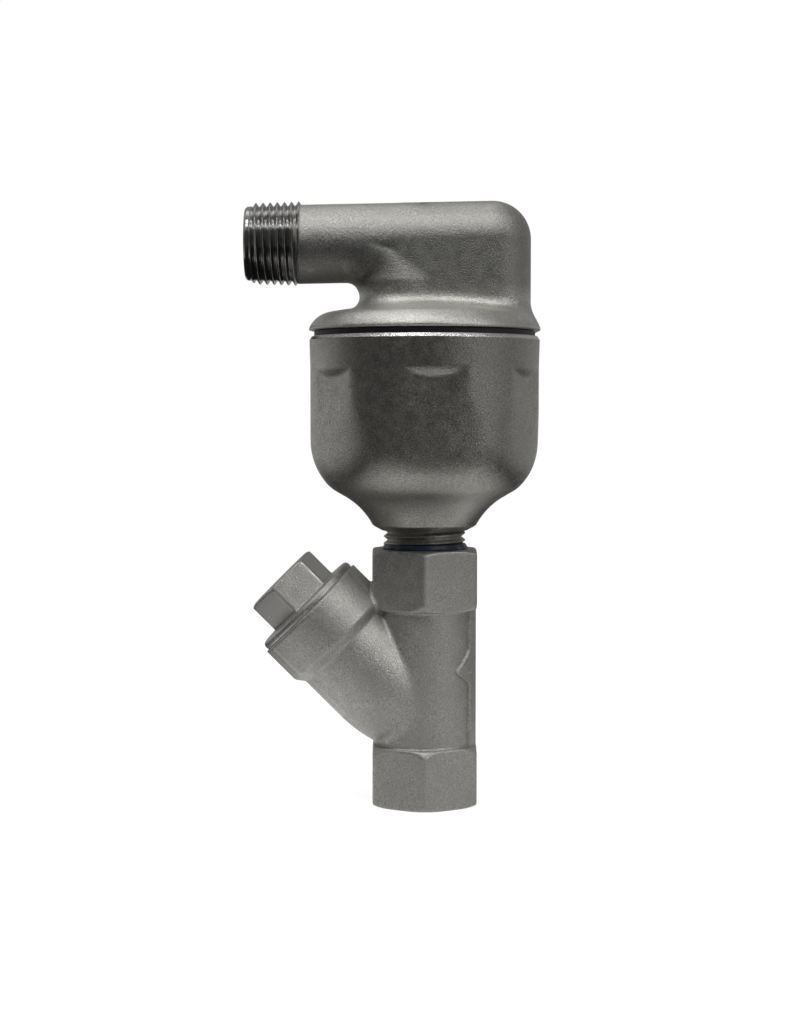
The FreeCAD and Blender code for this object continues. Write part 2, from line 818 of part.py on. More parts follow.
def float_place(shape):
    shape.translate(Vector(-float_arm, 0, -float_drop))
    return on_lever(shape)


def float_shell(lower):
    ball = Part.makeSphere(float_r).cut(Part.makeSphere(float_r - float_wall))
    reach = float_r + past
    if lower:
        half = block((-reach, -reach, -reach), (reach, reach, 0))
    else:
        half = block((-reach, -reach, 0), (reach, reach, reach))
    return float_place(ball.common(half))


def float_weld():
    edge_r = math.sqrt(float_r**2 - (weld_w / 2) ** 2)
    proud = float_r + weld_h
    bead = Part.Arc(Vector(edge_r, 0, weld_w / 2), Vector(proud, 0, 0), Vector(edge_r, 0, -weld_w / 2))
    back = Part.Arc(Vector(edge_r, 0, -weld_w / 2), Vector(float_r, 0, 0), Vector(edge_r, 0, weld_w / 2))
    return float_place(turned([bead.toShape(), back.toShape()]))


def float_stud():
    web_foot = float_drop - lever_half_h
    boss = drum(boss_r, float_r - boss_r, web_foot)
    stud = drum(stud_r, float_r, float_drop + stud_end)
    joined = boss.fuse(stud).removeSplitter()
    return float_place(joined.cut(Part.makeSphere(float_r)))


def float_washer():
    low = float_drop - lever_half_h + sheet
    return float_place(tube(lock_washer_r, stud_r + thread_gap, low, low + lock_washer_h))


def float_nut():
    low = float_drop - lever_half_h + sheet + lock_washer_h
    nut = hexagon(nut_af, low, low + nut_h, 0.0)
    return float_place(nut.cut(drum(stud_r + thread_gap, low - past, low + nut_h + past)))


pieces = {
    "strainer_body": strainer_body(),
    "strainer_screen": strainer_screen(),
    "screen_end_ring": screen_end_ring(),
    "strainer_plug": strainer_plug(),
    "plug_gasket": plug_gasket(),
    "float_bowl": float_bowl(),
    "thread_sealant": thread_sealant(),
    "cover_gasket": cover_gasket(),
    "cover_casting": cover_casting(),
    "seat_bushing": seat_bushing(),
    "seat_washer": seat_washer(),
    "lever_bracket": lever_bracket(),
    "bracket_screws": bracket_screws(),
    "bracket_washers": bracket_washers(),
    "pivot_pin": pivot_pin(),
    "pivot_clip": pivot_clip(),
    "float_lever": float_lever(),
    "valve_stem": valve_stem(),
    "valve_disc": valve_disc(),
    "valve_pin": valve_pin(),
    "float_upper_shell": float_shell(False),
    "float_lower_shell": float_shell(True),
    "float_weld": float_weld(),
    "float_stud": float_stud(),
    "float_washer": float_washer(),
    "float_nut": float_nut(),
}

for name, shape in pieces.items():
    shape.exportStep("parts/" + name + ".step")
    print(name, shape.isValid(), len(shape.Solids), round(shape.Volume, 1))
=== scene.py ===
import math

import bpy
import numpy as np
from bpy.props import FloatProperty, FloatVectorProperty, IntProperty, PointerProperty
from bpy.types import Operator, Panel, PropertyGroup
from mathutils import Matrix, Vector


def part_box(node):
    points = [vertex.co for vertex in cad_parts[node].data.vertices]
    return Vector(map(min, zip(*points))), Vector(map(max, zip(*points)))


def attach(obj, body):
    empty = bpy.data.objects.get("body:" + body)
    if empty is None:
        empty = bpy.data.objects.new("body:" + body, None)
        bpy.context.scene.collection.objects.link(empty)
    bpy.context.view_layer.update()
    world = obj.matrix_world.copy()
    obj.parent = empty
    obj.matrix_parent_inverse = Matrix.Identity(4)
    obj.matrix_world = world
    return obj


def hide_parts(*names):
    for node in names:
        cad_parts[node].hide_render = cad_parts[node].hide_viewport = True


bl_info = {
    "name": "Air Release Valve",
    "version": (1, 0, 0),
    "blender": (4, 5, 0),
    "location": "3D View > Sidebar > Valve",
    "description": "Dresses the castings, threads, seals and inner pieces of a float type air release valve",
    "category": "Object",
}

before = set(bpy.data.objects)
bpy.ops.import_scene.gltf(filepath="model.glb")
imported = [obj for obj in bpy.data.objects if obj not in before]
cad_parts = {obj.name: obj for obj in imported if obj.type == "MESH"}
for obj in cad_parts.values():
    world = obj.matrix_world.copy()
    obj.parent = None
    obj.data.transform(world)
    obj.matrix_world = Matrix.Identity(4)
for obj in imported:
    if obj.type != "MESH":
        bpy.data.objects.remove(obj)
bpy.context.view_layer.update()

MM = 0.001
RIGHT_ANGLE = math.radians(90)
SIXTH_TURN = math.pi / 3

# Places that the frame gives, in metres
STRAINER_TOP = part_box("strainer_body")[1].z
HEX_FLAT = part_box("strainer_body")[1].x
BOWL_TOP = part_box("float_bowl")[1].z
BOWL_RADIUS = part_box("float_bowl")[1].y
COVER_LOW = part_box("cover_gasket")[1].z
COVER_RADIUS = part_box("cover_casting")[1].y
COVER_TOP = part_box("cover_casting")[1].z
OUTLET_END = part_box("cover_casting")[0].x
SEALANT_LOW, SEALANT_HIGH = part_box("thread_sealant")

# The strainer's branch leaves the main axis here and leans towards -X
BRANCH_ROOT = Vector((0, 0, 20.96 * MM))
BRANCH_AXIS = Vector((-1, 0, 1)).normalized()
BRANCH_LEAN = math.pi / 4

# A blend so tight that it is seen as a line, and the usual broken edge
CREASE = 0.05 * MM
EDGE_BREAK = 0.3 * MM


class CastingSettings(PropertyGroup):
    step: FloatProperty(
        name="Mesh step", description="Spacing of the mesh on the castings",
        default=0.42 * MM, min=0.2 * MM, subtype="DISTANCE", unit="LENGTH",
    )
    edge: FloatProperty(
        name="Edge softness", description="How far the blasting has rounded the outer edges",
        default=0.7 * MM, min=0.1 * MM, subtype="DISTANCE", unit="LENGTH",
    )
    head_radius: FloatProperty(
        name="Head radius", description="Half depth of the cover's head",
        default=10.05 * MM, subtype="DISTANCE", unit="LENGTH",
    )
    head_fillet: FloatProperty(
        name="Head fillet", description="Blend between the head and the dome",
        default=3.4 * MM, subtype="DISTANCE", unit="LENGTH",
    )
    arm_crease: FloatProperty(
        name="Arm crease", description="Blend between the arm's underside and the head",
        default=3.2 * MM, subtype="DISTANCE", unit="LENGTH",
    )
    branch_fillet: FloatProperty(
        name="Branch fillet", description="Blend between the barrel and the branch",
        default=1.1 * MM, subtype="DISTANCE", unit="LENGTH",
    )
    flat_depth: FloatProperty(
        name="Wrench flat depth", description="How deep the six flats are cut into the bowl",
        default=1.25 * MM, subtype="DISTANCE", unit="LENGTH",
    )


class ThreadSettings(PropertyGroup):
    pitch: FloatProperty(
        name="Pitch", description="Pitch of the pipe threads",
        default=25.4 / 14 * MM, subtype="DISTANCE", unit="LENGTH",
    )
    depth: FloatProperty(
        name="Depth", description="Height of the pipe threads, crest to root",
        default=1.1 * MM, subtype="DISTANCE", unit="LENGTH",
    )
    plug_pitch: FloatProperty(
        name="Plug pitch", description="Pitch of the plug's thread",
        default=1.5 * MM, subtype="DISTANCE", unit="LENGTH",
    )
    start: FloatProperty(
        name="Start", description="Where on a turn the outlet's thread begins", default=0.475,
        subtype="FACTOR",
    )
    columns: IntProperty(name="Columns", description="Points round each thread", default=180, min=48)


class FinishSettings(PropertyGroup):
    cast_colour: FloatVectorProperty(
        name="Castings", description="Blasted cover and strainer", subtype="COLOR", size=3,
        default=(0.50, 0.49, 0.465),
    )
    bowl_colour: FloatVectorProperty(
        name="Bowl", description="Darker steel of the float bowl", subtype="COLOR", size=3,
        default=(0.41, 0.40, 0.37),
    )
    plug_colour: FloatVectorProperty(
        name="Plug", description="Strainer plug", subtype="COLOR", size=3, default=(0.49, 0.48, 0.46),
    )
    machined_colour: FloatVectorProperty(
        name="Machined", description="Cut threads and turned pieces", subtype="COLOR", size=3,
        default=(0.66, 0.655, 0.64),
    )
    rubber_colour: FloatVectorProperty(
        name="Rubber", description="Cover gasket and valve disc", subtype="COLOR", size=3,
        default=(0.012, 0.012, 0.013),
    )
    sealant_colour: FloatVectorProperty(
        name="Sealant", description="Dried pipe sealant", subtype="COLOR", size=3,
        default=(0.006, 0.014, 0.034),
    )
    grain: FloatProperty(
        name="Grain", description="Size of the blasted grain", default=0.36 * MM, min=0.05 * MM,
        subtype="DISTANCE", unit="LENGTH",
    )


class StageSettings(PropertyGroup):
    camera_place: FloatVectorProperty(
        name="Camera", description="Where the camera stands", subtype="TRANSLATION", size=3,
        default=(-6.4 * MM, -490 * MM, 100.8 * MM),
    )
    camera_tilt: FloatProperty(
        name="Tilt", description="How far the camera looks down", default=math.radians(3.0),
        subtype="ANGLE",
    )
    lens: FloatProperty(
        name="Lens", description="Focal length on a 36 mm long side", default=67.15,
        subtype="DISTANCE_CAMERA",
    )
    tent_radius: FloatProperty(
        name="Tent radius", description="Distance of the light tent's wall", default=0.40,
        subtype="DISTANCE", unit="LENGTH",
    )
    tent_height: FloatProperty(
        name="Tent height", description="Height of the light tent", default=0.72,
        subtype="DISTANCE", unit="LENGTH",
    )
    key_power: FloatProperty(
        name="Key power", description="Power of the soft box overhead", default=1.72, unit="POWER",
    )
    dome_power: FloatProperty(
        name="Dome power", description="Power of the soft box behind the head", default=0.15,
        unit="POWER",
    )
    strip_power: FloatProperty(
        name="Strip power", description="Power of the strip light over the outlet", default=0.10,
        unit="POWER",
    )
    side_power: FloatProperty(
        name="Side power", description="Power of the small soft box on the right", default=0.006,
        unit="POWER",
    )


# Meshes

GRID_MARGIN = 1 * MM
AXES = np.eye(3, dtype=int)
CELL_CORNERS = 8
# Share of a step over which a field's slope is taken, and the least squared slope to divide by
SLOPE_REACH = 0.05
LEAST_SLOPE = 0.2
# Corners that turn less than this stay as they are, and an arc takes up at most this share of a side
SMOOTH_TURN = math.radians(8)
CORNER_SHARE = 0.45


def finished(name, mesh, smooth=True):
    """Links a mesh as an object whose polygons are smooth."""
    mesh.polygons.foreach_set("use_smooth", [smooth] * len(mesh.polygons))
    mesh.validate()
    mesh.update()
    piece = bpy.data.objects.new(name, mesh)
    bpy.context.scene.collection.objects.link(piece)
    return piece


def mesh_of(name, points, faces):
    mesh = bpy.data.meshes.new(name)
    mesh.from_pydata(np.asarray(points).tolist(), [], np.asarray(faces).tolist())
    return mesh


def surface_of(name, field, low, high, step):
    """The surface where a field of distances is nought, as an even mesh of quads between two corners."""
    axes = [np.arange(a - 2 * step, b + 3 * step, step) for a, b in zip(low, high)]
    x, y, z = np.meshgrid(*axes, indexing="ij", sparse=True)
    value = np.broadcast_to(field(x, y, z), [len(a) for a in axes])
    inside = value < 0
    filled = np.zeros([n - 1 for n in inside.shape], int)
    for i, j, k in np.ndindex(2, 2, 2):
        filled += inside[i:i + filled.shape[0], j:j + filled.shape[1], k:k + filled.shape[2]]
    cut_cells = (filled > 0) & (filled < CELL_CORNERS)
    number = np.full(cut_cells.shape, -1)
    number[cut_cells] = np.arange(cut_cells.sum())
    points = np.array([a[0] for a in axes]) + crossings(value, np.argwhere(cut_cells)) * step
    return mesh_of(name, settled(points, field, step), cell_quads(inside, number))


def crossings(value, corner):
    """The middle of the places where the field changes sign on each cell's edges, counted in steps."""
    total = np.zeros((len(corner), 3))
    count = np.zeros(len(corner))
    for axis in range(3):
        along = AXES[axis]
        sides = [AXES[a] for a in range(3) if a != axis]
        for u, v in np.ndindex(2, 2):
            start = corner + u * sides[0] + v * sides[1]
            a = value[tuple(start.T)]
            b = value[tuple((start + along).T)]
            crossed = (a < 0) != (b < 0)
            share = np.where(crossed, a / np.where(a == b, 1, a - b), 0)
            total += np.where(crossed[:, None], start + share[:, None] * along, 0)
            count += crossed
    return total / count[:, None]


def cell_quads(inside, number):
    """One quad round each edge of the grid that the surface crosses, facing outwards."""
    faces = []
    for axis in range(3):
        others = [a for a in range(3) if a != axis]
        first = [slice(1, -1)] * 3
        first[axis] = slice(0, -1)
        second = list(first)
        second[axis] = slice(1, None)
        a = inside[tuple(first)]
        b = inside[tuple(second)]
        flips = np.argwhere(a != b)
        cell = flips.copy()
        cell[:, others] += 1
        across, up = AXES[others]
        ring = [cell - across - up, cell - up, cell, cell - across]
        quads = np.stack([number[tuple(r.T)] for r in ring], axis=1)
        outwards = a[tuple(flips.T)] != (axis == 1)
        quads[~outwards] = quads[~outwards][:, ::-1]
        faces.append(quads)
    return np.concatenate(faces)


def settled(points, field, step, rounds=3):
    """Moves points along the field's slope until they lie on its surface."""
    reach = step * SLOPE_REACH
    for _ in range(rounds):
        x, y, z = points.T
        value = field(x, y, z)
        slope = np.stack([
            field(x + reach, y, z) - field(x - reach, y, z),
            field(x, y + reach, z) - field(x, y - reach, z),
            field(x, y, z + reach) - field(x, y, z - reach),
        ], axis=1) / (2 * reach)
        size = np.maximum((slope ** 2).sum(axis=1), LEAST_SLOPE)
        move = (value / size)[:, None] * slope
        points = points - np.clip(move, -step / 2, step / 2)
    return points


def rounded(outline, radius, arc_points=5):
    """A closed outline whose corners are replaced by arcs as large as radius and its sides allow."""
    result = []
    for i, corner in enumerate(outline):
        before = Vector(outline[i - 1])
        here = Vector(corner)
        after = Vector(outline[(i + 1) % len(outline)])
        into = here - before
        away = after - here
        turn = into.angle(away, 0)
        if turn < SMOOTH_TURN:
            result.append(tuple(here))
            continue
        cut = min(radius * math.tan(turn / 2), into.length * CORNER_SHARE, away.length * CORNER_SHARE)
        start = here - into.normalized() * cut
        end = here + away.normalized() * cut
        for j in range(arc_points):
            t = j / (arc_points - 1)
            result.append(tuple(start * (1 - t) ** 2 + here * 2 * t * (1 - t) + end * t ** 2))
    return result


def spaced(outline, spacing):
    """Adds points to the long sides of a closed outline."""
    result = []
    for a, b in zip(outline, outline[1:] + outline[:1]):
        pieces = max(1, math.ceil(math.dist(a, b) / spacing))
        for j in range(pieces):
            t = j / pieces
            result.append((a[0] + (b[0] - a[0]) * t, a[1] + (b[1] - a[1]) * t))
    return result


def lathe(name, outline, columns, place=None, shape=None):
    """Turns a closed outline of (radius, height) about Z. A shape may change the radius at an angle."""
    turn = np.arange(columns) * (2 * math.pi / columns)
    r = np.array([p[0] for p in outline])[None, :]
    z = np.array([p[1] for p in outline])[None, :]
    angle = turn[:, None]
    radius = np.broadcast_to(r, (columns, r.shape[1])) if shape is None else shape(r, z, angle)
    height = np.broadcast_to(z, radius.shape)
    points = np.stack([radius * np.cos(angle), radius * np.sin(angle), height], axis=2).reshape(-1, 3)
    rows = len(outline)
    i = np.arange(columns)[:, None]
    j = np.arange(rows)[None, :]
    corners = [i * rows + j, (i + 1) % columns * rows + j,
               (i + 1) % columns * rows + (j + 1) % rows, i * rows + (j + 1) % rows]
    faces = np.stack(np.broadcast_arrays(*corners), axis=2).reshape(-1, 4)
    area = sum(a[0] * b[1] - b[0] * a[1] for a, b in zip(outline, outline[1:] + outline[:1]))
    if area < 0:
        faces = faces[:, ::-1]
    mesh = mesh_of(name, points, faces)
    if place is not None:
        mesh.transform(place)
    return mesh


def branch_place():
    """Turns what is modelled about Z on to the strainer's branch."""
    return Matrix.Translation(BRANCH_ROOT) @ Matrix.Rotation(-BRANCH_LEAN, 4, "Y")


# Fields of distances, in metres, which join with soft blends

def join(a, b, blend):
    """What is inside either field, with a soft blend where they meet."""
    mix = np.clip(0.5 + 0.5 * (b - a) / blend, 0, 1)
    return b + (a - b) * mix - blend * mix * (1 - mix)


def overlap(a, b, blend):
    """What is inside both fields, with a rounded edge."""
    return -join(-a, -b, blend)


def cut_out(a, b, blend):
    """What is inside the first field and outside the second."""
    return -join(-a, b, blend)


def hexagon_field(x, y, flat, edge):
    """A hexagon's inside, its sides at the distance flat from the axis."""
    field = None
    for i in range(3):
        angle = SIXTH_TURN * i
        side = np.abs(x * math.cos(angle) + y * math.sin(angle)) - flat
        field = side if field is None else overlap(field, side, edge)
    return field


def cone_field(radius, z, start, end):
    """Inside of the cone through two (radius, height) points, seen from its axis."""
    dr = end[0] - start[0]
    dz = end[1] - start[1]
    size = math.hypot(dr, dz)
    return ((radius - start[0]) * abs(dz) - (z - start[1]) * dr * math.copysign(1, dz)) / size


def arc_band(u, v, centre, radius, from_angle, to_angle):
    """Distance in a plane to an arc, its angles in radians and rising."""
    du = u - centre[0]
    dv = v - centre[1]
    middle = (from_angle + to_angle) / 2
    half = (to_angle - from_angle) / 2
    turned_u = du * math.cos(middle) + dv * math.sin(middle)
    turned_v = np.abs(-du * math.sin(middle) + dv * math.cos(middle))
    end = (radius * math.cos(half), radius * math.sin(half))
    within = turned_v * math.cos(half) <= turned_u * math.sin(half)
    return np.where(
        within, np.abs(np.hypot(turned_u, turned_v) - radius),
        np.hypot(turned_u - end[0], turned_v - end[1]),
    )


# The cover

HEAD_RIGHT = 17.05 * MM
HEAD_LEFT = -5.7 * MM
ARM_END = -32.6 * MM
ARM_RADIUS = 10.0 * MM
ARM_SLOPE = math.radians(1.13)
ARM_BEND = 14.5 * MM
ARM_LIP = 0.4 * MM
OUTLET_Z = 143.6 * MM
OUTLET_BORE = 6.6 * MM
CORE_WALL = 3.3 * MM
CORE_FLOOR = 131.0 * MM
SPIGOT_RADIUS = 26.45 * MM
SPIGOT_WALL = 3.4 * MM
SPIGOT_LENGTH = 9.2 * MM
SPIGOT_ROOT = 0.2 * MM
DOME_EDGE_H = 0.6 * MM
DOME_LIFT = 0.4 * MM
DOME_LIFT_WIDTH = 2.5 * MM
DOME_LIP = 0.15 * MM
DOME_ROUND = 6.7 * MM
DOME_FROM = math.radians(20)
DOME_TO = math.radians(80)
CAVITY_TOP = 2.3 * MM


def dome_field(radius, z):
    """The cover's dome: a round shoulder, then a flat arc up to the axis."""
    edge = COVER_LOW + DOME_EDGE_H
    centre = (COVER_RADIUS - DOME_ROUND * math.cos(DOME_FROM), edge - DOME_ROUND * math.sin(DOME_FROM))
    shoulder = (centre[0] + DOME_ROUND * math.cos(DOME_TO), centre[1] + DOME_ROUND * math.sin(DOME_TO))
    crown_radius = shoulder[0] / math.cos(DOME_TO)
    crown_z = shoulder[1] - crown_radius * math.sin(DOME_TO)
    steep = np.arctan2(z - centre[1], radius - centre[0]) < DOME_TO
    low = np.hypot(radius - centre[0], z - centre[1]) - DOME_ROUND
    high = np.hypot(radius, z - crown_z) - crown_radius
    top = np.where(steep & (radius > centre[0]), low, high)
    rim = overlap(top, radius - COVER_RADIUS, EDGE_BREAK)
    lift = DOME_LIFT * np.clip((radius - COVER_RADIUS) / DOME_LIFT_WIDTH + 1, 0, 1)
    return overlap(rim, COVER_LOW + lift - z, DOME_LIP)


def head_axis(x, head_radius):
    """Height of the axis that the head's top and the arm share, which falls towards the outlet."""
    return COVER_TOP - head_radius - math.tan(ARM_SLOPE) * (HEAD_RIGHT - x)


def head_field(x, y, z, rise, head_radius):
    """The cover's head, round on top and straight sided down to the dome."""
    past = x - np.clip(x, HEAD_LEFT, HEAD_RIGHT)
    plan = np.hypot(past, y)
    head = np.where(rise > 0, np.sqrt(past ** 2 + y ** 2 + rise ** 2), plan) - head_radius
    return np.maximum(head, COVER_LOW + DOME_EDGE_H - z)


def arm_field(x, y, z, rise, head_radius):
    """The outlet arm, straight to its end and bent down into the head's left side."""
    straight = overlap(np.hypot(y, rise) - ARM_RADIUS, ARM_END - x, ARM_LIP)
    straight = np.maximum(straight, x - HEAD_RIGHT)
    along = Vector((-math.cos(ARM_SLOPE), -math.sin(ARM_SLOPE)))
    inwards = (along + Vector((0, -1))).normalized()
    corner = Vector((HEAD_LEFT, head_axis(HEAD_LEFT, head_radius)))
    centre = corner + inwards * (ARM_BEND / math.sin((RIGHT_ANGLE - ARM_SLOPE) / 2))
    bend = arc_band(x, z, centre, ARM_BEND, 0, RIGHT_ANGLE + ARM_SLOPE)
    return join(straight, np.hypot(bend, y) - ARM_RADIUS, CREASE)


def cover_field(x, y, z, casting):
    """The cover: head, arm and dome over the spigot that screws into the bowl, all hollow."""
    radius = np.hypot(x, y)
    head_radius = casting.head_radius
    rise = (z - head_axis(x, head_radius)) * math.cos(ARM_SLOPE)
    head = head_field(x, y, z, rise, head_radius)
    arm = arm_field(x, y, z, rise, head_radius)
    under = np.clip(-rise / ARM_RADIUS, 0, 1) ** 2
    upper = join(head, arm, CREASE + casting.arm_crease * under)
    field = join(upper, dome_field(radius, z), casting.head_fillet)
    span = np.maximum(COVER_LOW - SPIGOT_LENGTH - z, z - COVER_LOW - DOME_EDGE_H)
    field = join(field, np.maximum(radius - SPIGOT_RADIUS, span), SPIGOT_ROOT)
    bore = np.maximum(np.hypot(y, z - OUTLET_Z) - OUTLET_BORE, x - HEAD_RIGHT)
    core = np.maximum(head + CORE_WALL, CORE_FLOOR - z)
    cavity = np.maximum(radius - SPIGOT_RADIUS + SPIGOT_WALL, z - COVER_LOW - CAVITY_TOP)
    hollow = np.minimum(np.minimum(bore, core), cavity)
    field = cut_out(field, hollow, EDGE_BREAK)
    rim = np.where(x > 0, radius - COVER_RADIUS, -1)
    return np.maximum(field, np.maximum(rim, z - COVER_TOP))


# The strainer's body

PIPE_MAJOR = 10.55 * MM
PIPE_DEPTH = 15.0 * MM
PASSAGE_RADIUS = 7.5 * MM
INLET_PASSAGE_TOP = 23.0 * MM
OUTLET_PASSAGE_FOOT = 36.0 * MM
HEX_HEIGHT = 15.5 * MM
HEX_MARGIN = 0.4 * MM
HEX_OUTER_BEVEL = 1.0 * MM
HEX_INNER_BEVEL = 1.9 * MM
HEX_INNER_RIM = HEX_FLAT + 0.55 * MM
HEX_CORNER_PLAY = 0.1 * MM
HEX_BEVEL_SHARE = 0.6
BARREL_RADIUS = HEX_FLAT - 0.7 * MM
BARREL_ROOT = 0.5 * MM
RIB_FACE = HEX_FLAT - 0.02 * MM
RIB_ANGLE = math.radians(29)
ARROW_ANGLE = math.radians(53)
ARROW_Z = STRAINER_TOP / 2 + 1.9 * MM
ARROW_HEAD = 5.3 * MM
ARROW_BASE = 3.2 * MM
# Blends in the arrow's outline, as angles
ARROW_BLEND = 0.10
RIB_BLEND = 0.05
RIB_STEP = 0.2 * MM
RIB_LAP = 0.5 * MM
RIB_COLUMNS = 16
# The rib's wall from the barrel up to its face, as places past the face and past the rib's half width
RIB_WALL = np.array([
    (-1.4, 0.30), (-0.73, 0.28), (-0.53, 0.18), (-0.20, 0.04), (-0.09, -0.02), (-0.02, -0.11),
    (0, -0.22), (0, -0.32),
]) * MM
BRANCH_RADIUS = 14.1 * MM
NOSE_RADIUS = 37.5 * MM
NOSE_END = 16.4 * MM
COLLAR_RADIUS = 15.75 * MM
COLLAR_START = 29.2 * MM
COLLAR_FULL = 31.3 * MM
COLLAR_END = 41.0 * MM
COLLAR_LIP = 0.6 * MM
COLLAR_ROUND = 0.4 * MM
COLLAR_ROOT = 0.35 * MM
SHAFT_BACK = 2 * MM
SHAFT_LAP = 1 * MM
RECESS_RADIUS = 14.8 * MM
CHAMBER_RADIUS = 10.8 * MM
CHAMBER_START = 8.0 * MM
SCREEN_RADIUS = 8.6 * MM
SCREEN_SEAT = 6.0 * MM
SCREEN_BORE = 7.3 * MM
SCREEN_PLAY = 0.05 * MM
HOLLOW_EDGE = 0.35 * MM
PLUG_MAJOR = 12.3 * MM
PLUG_DEPTH = 9.5 * MM


def on_branch(x, y, z):
    """Distance from the branch's axis and place along it."""
    along = (x - BRANCH_ROOT.x) * BRANCH_AXIS.x + (z - BRANCH_ROOT.z) * BRANCH_AXIS.z
    side = (x - BRANCH_ROOT.x) * BRANCH_AXIS.z - (z - BRANCH_ROOT.z) * BRANCH_AXIS.x
    return np.hypot(side, y), along


def past_corner(flat):
    """A radius just past the corners of a hexagon whose sides are at the distance flat."""
    return flat * 2 / math.sqrt(3) + HEX_CORNER_PLAY


def hex_end(x, y, z, low, outer_low, edge):
    """One hex of the strainer from low up, its outer face at the bottom or at the top."""
    radius = np.hypot(x, y)
    high = low + HEX_HEIGHT
    corner = past_corner(HEX_FLAT)
    outer = (HEX_OUTER_BEVEL, HEX_FLAT + HEX_MARGIN)
    inner = (HEX_INNER_BEVEL, HEX_INNER_RIM)
    foot_side, top_side = (outer, inner) if outer_low else (inner, outer)
    foot = cone_field(radius, z, (corner, low + foot_side[0]), (foot_side[1], low))
    top = cone_field(radius, z, (corner, high - top_side[0]), (top_side[1], high))
    field = hexagon_field(x, y, HEX_FLAT, edge)
    for side in (foot, top, low - z, z - high):
        field = overlap(field, side, edge * HEX_BEVEL_SHARE)
    return field


def branch_field(q, t):
    """The strainer's branch with its round nose and its collar, at q from its axis and t along it."""
    nose = np.hypot(q + NOSE_RADIUS - BRANCH_RADIUS, t - NOSE_END) - NOSE_RADIUS
    shaft = np.where(t < NOSE_END, nose, q - BRANCH_RADIUS)
    shaft = np.maximum(shaft, np.maximum(-SHAFT_BACK - t, t - COLLAR_FULL - SHAFT_LAP))
    slope = cone_field(q, t, (COLLAR_RADIUS, COLLAR_FULL), (BRANCH_RADIUS, COLLAR_START))
    collar = overlap(q - COLLAR_RADIUS, slope, COLLAR_ROUND)
    collar = overlap(collar, t - COLLAR_END - COLLAR_LIP, EDGE_BREAK)
    collar = np.maximum(collar, COLLAR_START - t)
    return join(shaft, collar, COLLAR_ROOT)


def strainer_field(x, y, z, casting):
    """The strainer's body: barrel, two hexes and branch, with its passages and seats cut out."""
    edge = casting.edge
    radius = np.hypot(x, y)
    half_hex = HEX_HEIGHT / 2
    barrel = np.maximum(radius - BARREL_RADIUS, np.maximum(half_hex - z, z - STRAINER_TOP + half_hex))
    field = join(barrel, hex_end(x, y, z, 0, True, edge), BARREL_ROOT)
    field = join(field, hex_end(x, y, z, STRAINER_TOP - HEX_HEIGHT, False, edge), BARREL_ROOT)
    q, t = on_branch(x, y, z)
    field = join(field, branch_field(q, t), casting.branch_fillet)
    hollows = [
        np.maximum(radius - PIPE_MAJOR, z - PIPE_DEPTH),
        np.maximum(radius - PIPE_MAJOR, STRAINER_TOP - PIPE_DEPTH - z),
        np.maximum(radius - PASSAGE_RADIUS, z - INLET_PASSAGE_TOP),
        np.maximum(radius - PASSAGE_RADIUS, OUTLET_PASSAGE_FOOT - z),
        np.maximum(q - SCREEN_BORE, -t),
        np.maximum(q - SCREEN_RADIUS - SCREEN_PLAY, SCREEN_SEAT - t),
        np.maximum(q - CHAMBER_RADIUS, CHAMBER_START - t),
        np.maximum(q - PLUG_MAJOR, COLLAR_END - PLUG_DEPTH - t),
        np.maximum(q - RECESS_RADIUS, COLLAR_END - t),
    ]
    hollow = hollows[0]
    for other in hollows[1:]:
        hollow = np.minimum(hollow, other)
    return cut_out(field, hollow, HOLLOW_EDGE)


def flow_rib():
    """The rib that wraps the barrel's right side and widens to an arrow head that points up."""
    z = np.arange(HEX_HEIGHT - RIB_LAP, STRAINER_TOP - HEX_HEIGHT + RIB_LAP, RIB_STEP)
    flare = ARROW_ANGLE - RIB_ANGLE
    head = ARROW_ANGLE - (z - ARROW_Z) * flare / ARROW_HEAD
    base = ARROW_ANGLE + (z - ARROW_Z) * flare / ARROW_BASE
    half = overlap(RIB_ANGLE, join(head, base, ARROW_BLEND), RIB_BLEND)[:, None]
    across = np.linspace(1, 0, RIB_COLUMNS)[1:]
    start = half + RIB_WALL[-1, 1] / RIB_FACE
    side = np.concatenate([half + RIB_WALL[:, 1] / RIB_FACE, start * across], axis=1)
    turn = np.concatenate([side, -side[:, -2::-1]], axis=1)
    reach = RIB_FACE + np.concatenate([RIB_WALL[:, 0], 0 * across])
    reach = np.concatenate([reach, reach[-2::-1]])
    level = np.broadcast_to(z[:, None], turn.shape)
    points = np.stack([reach * np.cos(turn), reach * np.sin(turn), level], axis=2).reshape(-1, 3)
    count = turn.shape[1]
    faces = []
    for j in range(len(z) - 1):
        for i in range(count):
            k = (i + 1) % count
            faces.append((j * count + k, j * count + i, (j + 1) * count + i, (j + 1) * count + k))
    last = (len(z) - 1) * count
    foot = tuple(range(count))
    top = tuple(last + i for i in reversed(range(count)))
    mesh = bpy.data.meshes.new("flow_rib")
    mesh.from_pydata(points.tolist(), [], faces + [foot, top])
    return mesh


# The plug

PLUG_FACE = 41.8 * MM
PLUG_FLANGE = 15.1 * MM
PLUG_FLANGE_H = 1.9 * MM
PLUG_ROUND = 0.6 * MM
PLUG_RIM_BLEND = 2.2 * PLUG_ROUND
PLUG_EDGE_SHARE = 0.8
PLUG_STEP_SHARE = 0.75
PLUG_HEAD_ROOT = 0.7 * MM
PLUG_SHANK_ROOT = 0.2 * MM
PLUG_SHANK_LAP = 0.5 * MM
PLUG_FLAT = 9.225 * MM
PLUG_HEAD_H = 8.8 * MM
PLUG_BEVEL = 0.7 * MM
PLUG_TURN = math.radians(17)
PLUG_ROOT = 11.25 * MM
PLUG_SHANK = 8.2 * MM
PLUG_RECESS = 8.95 * MM
PLUG_RECESS_END = 36.3 * MM


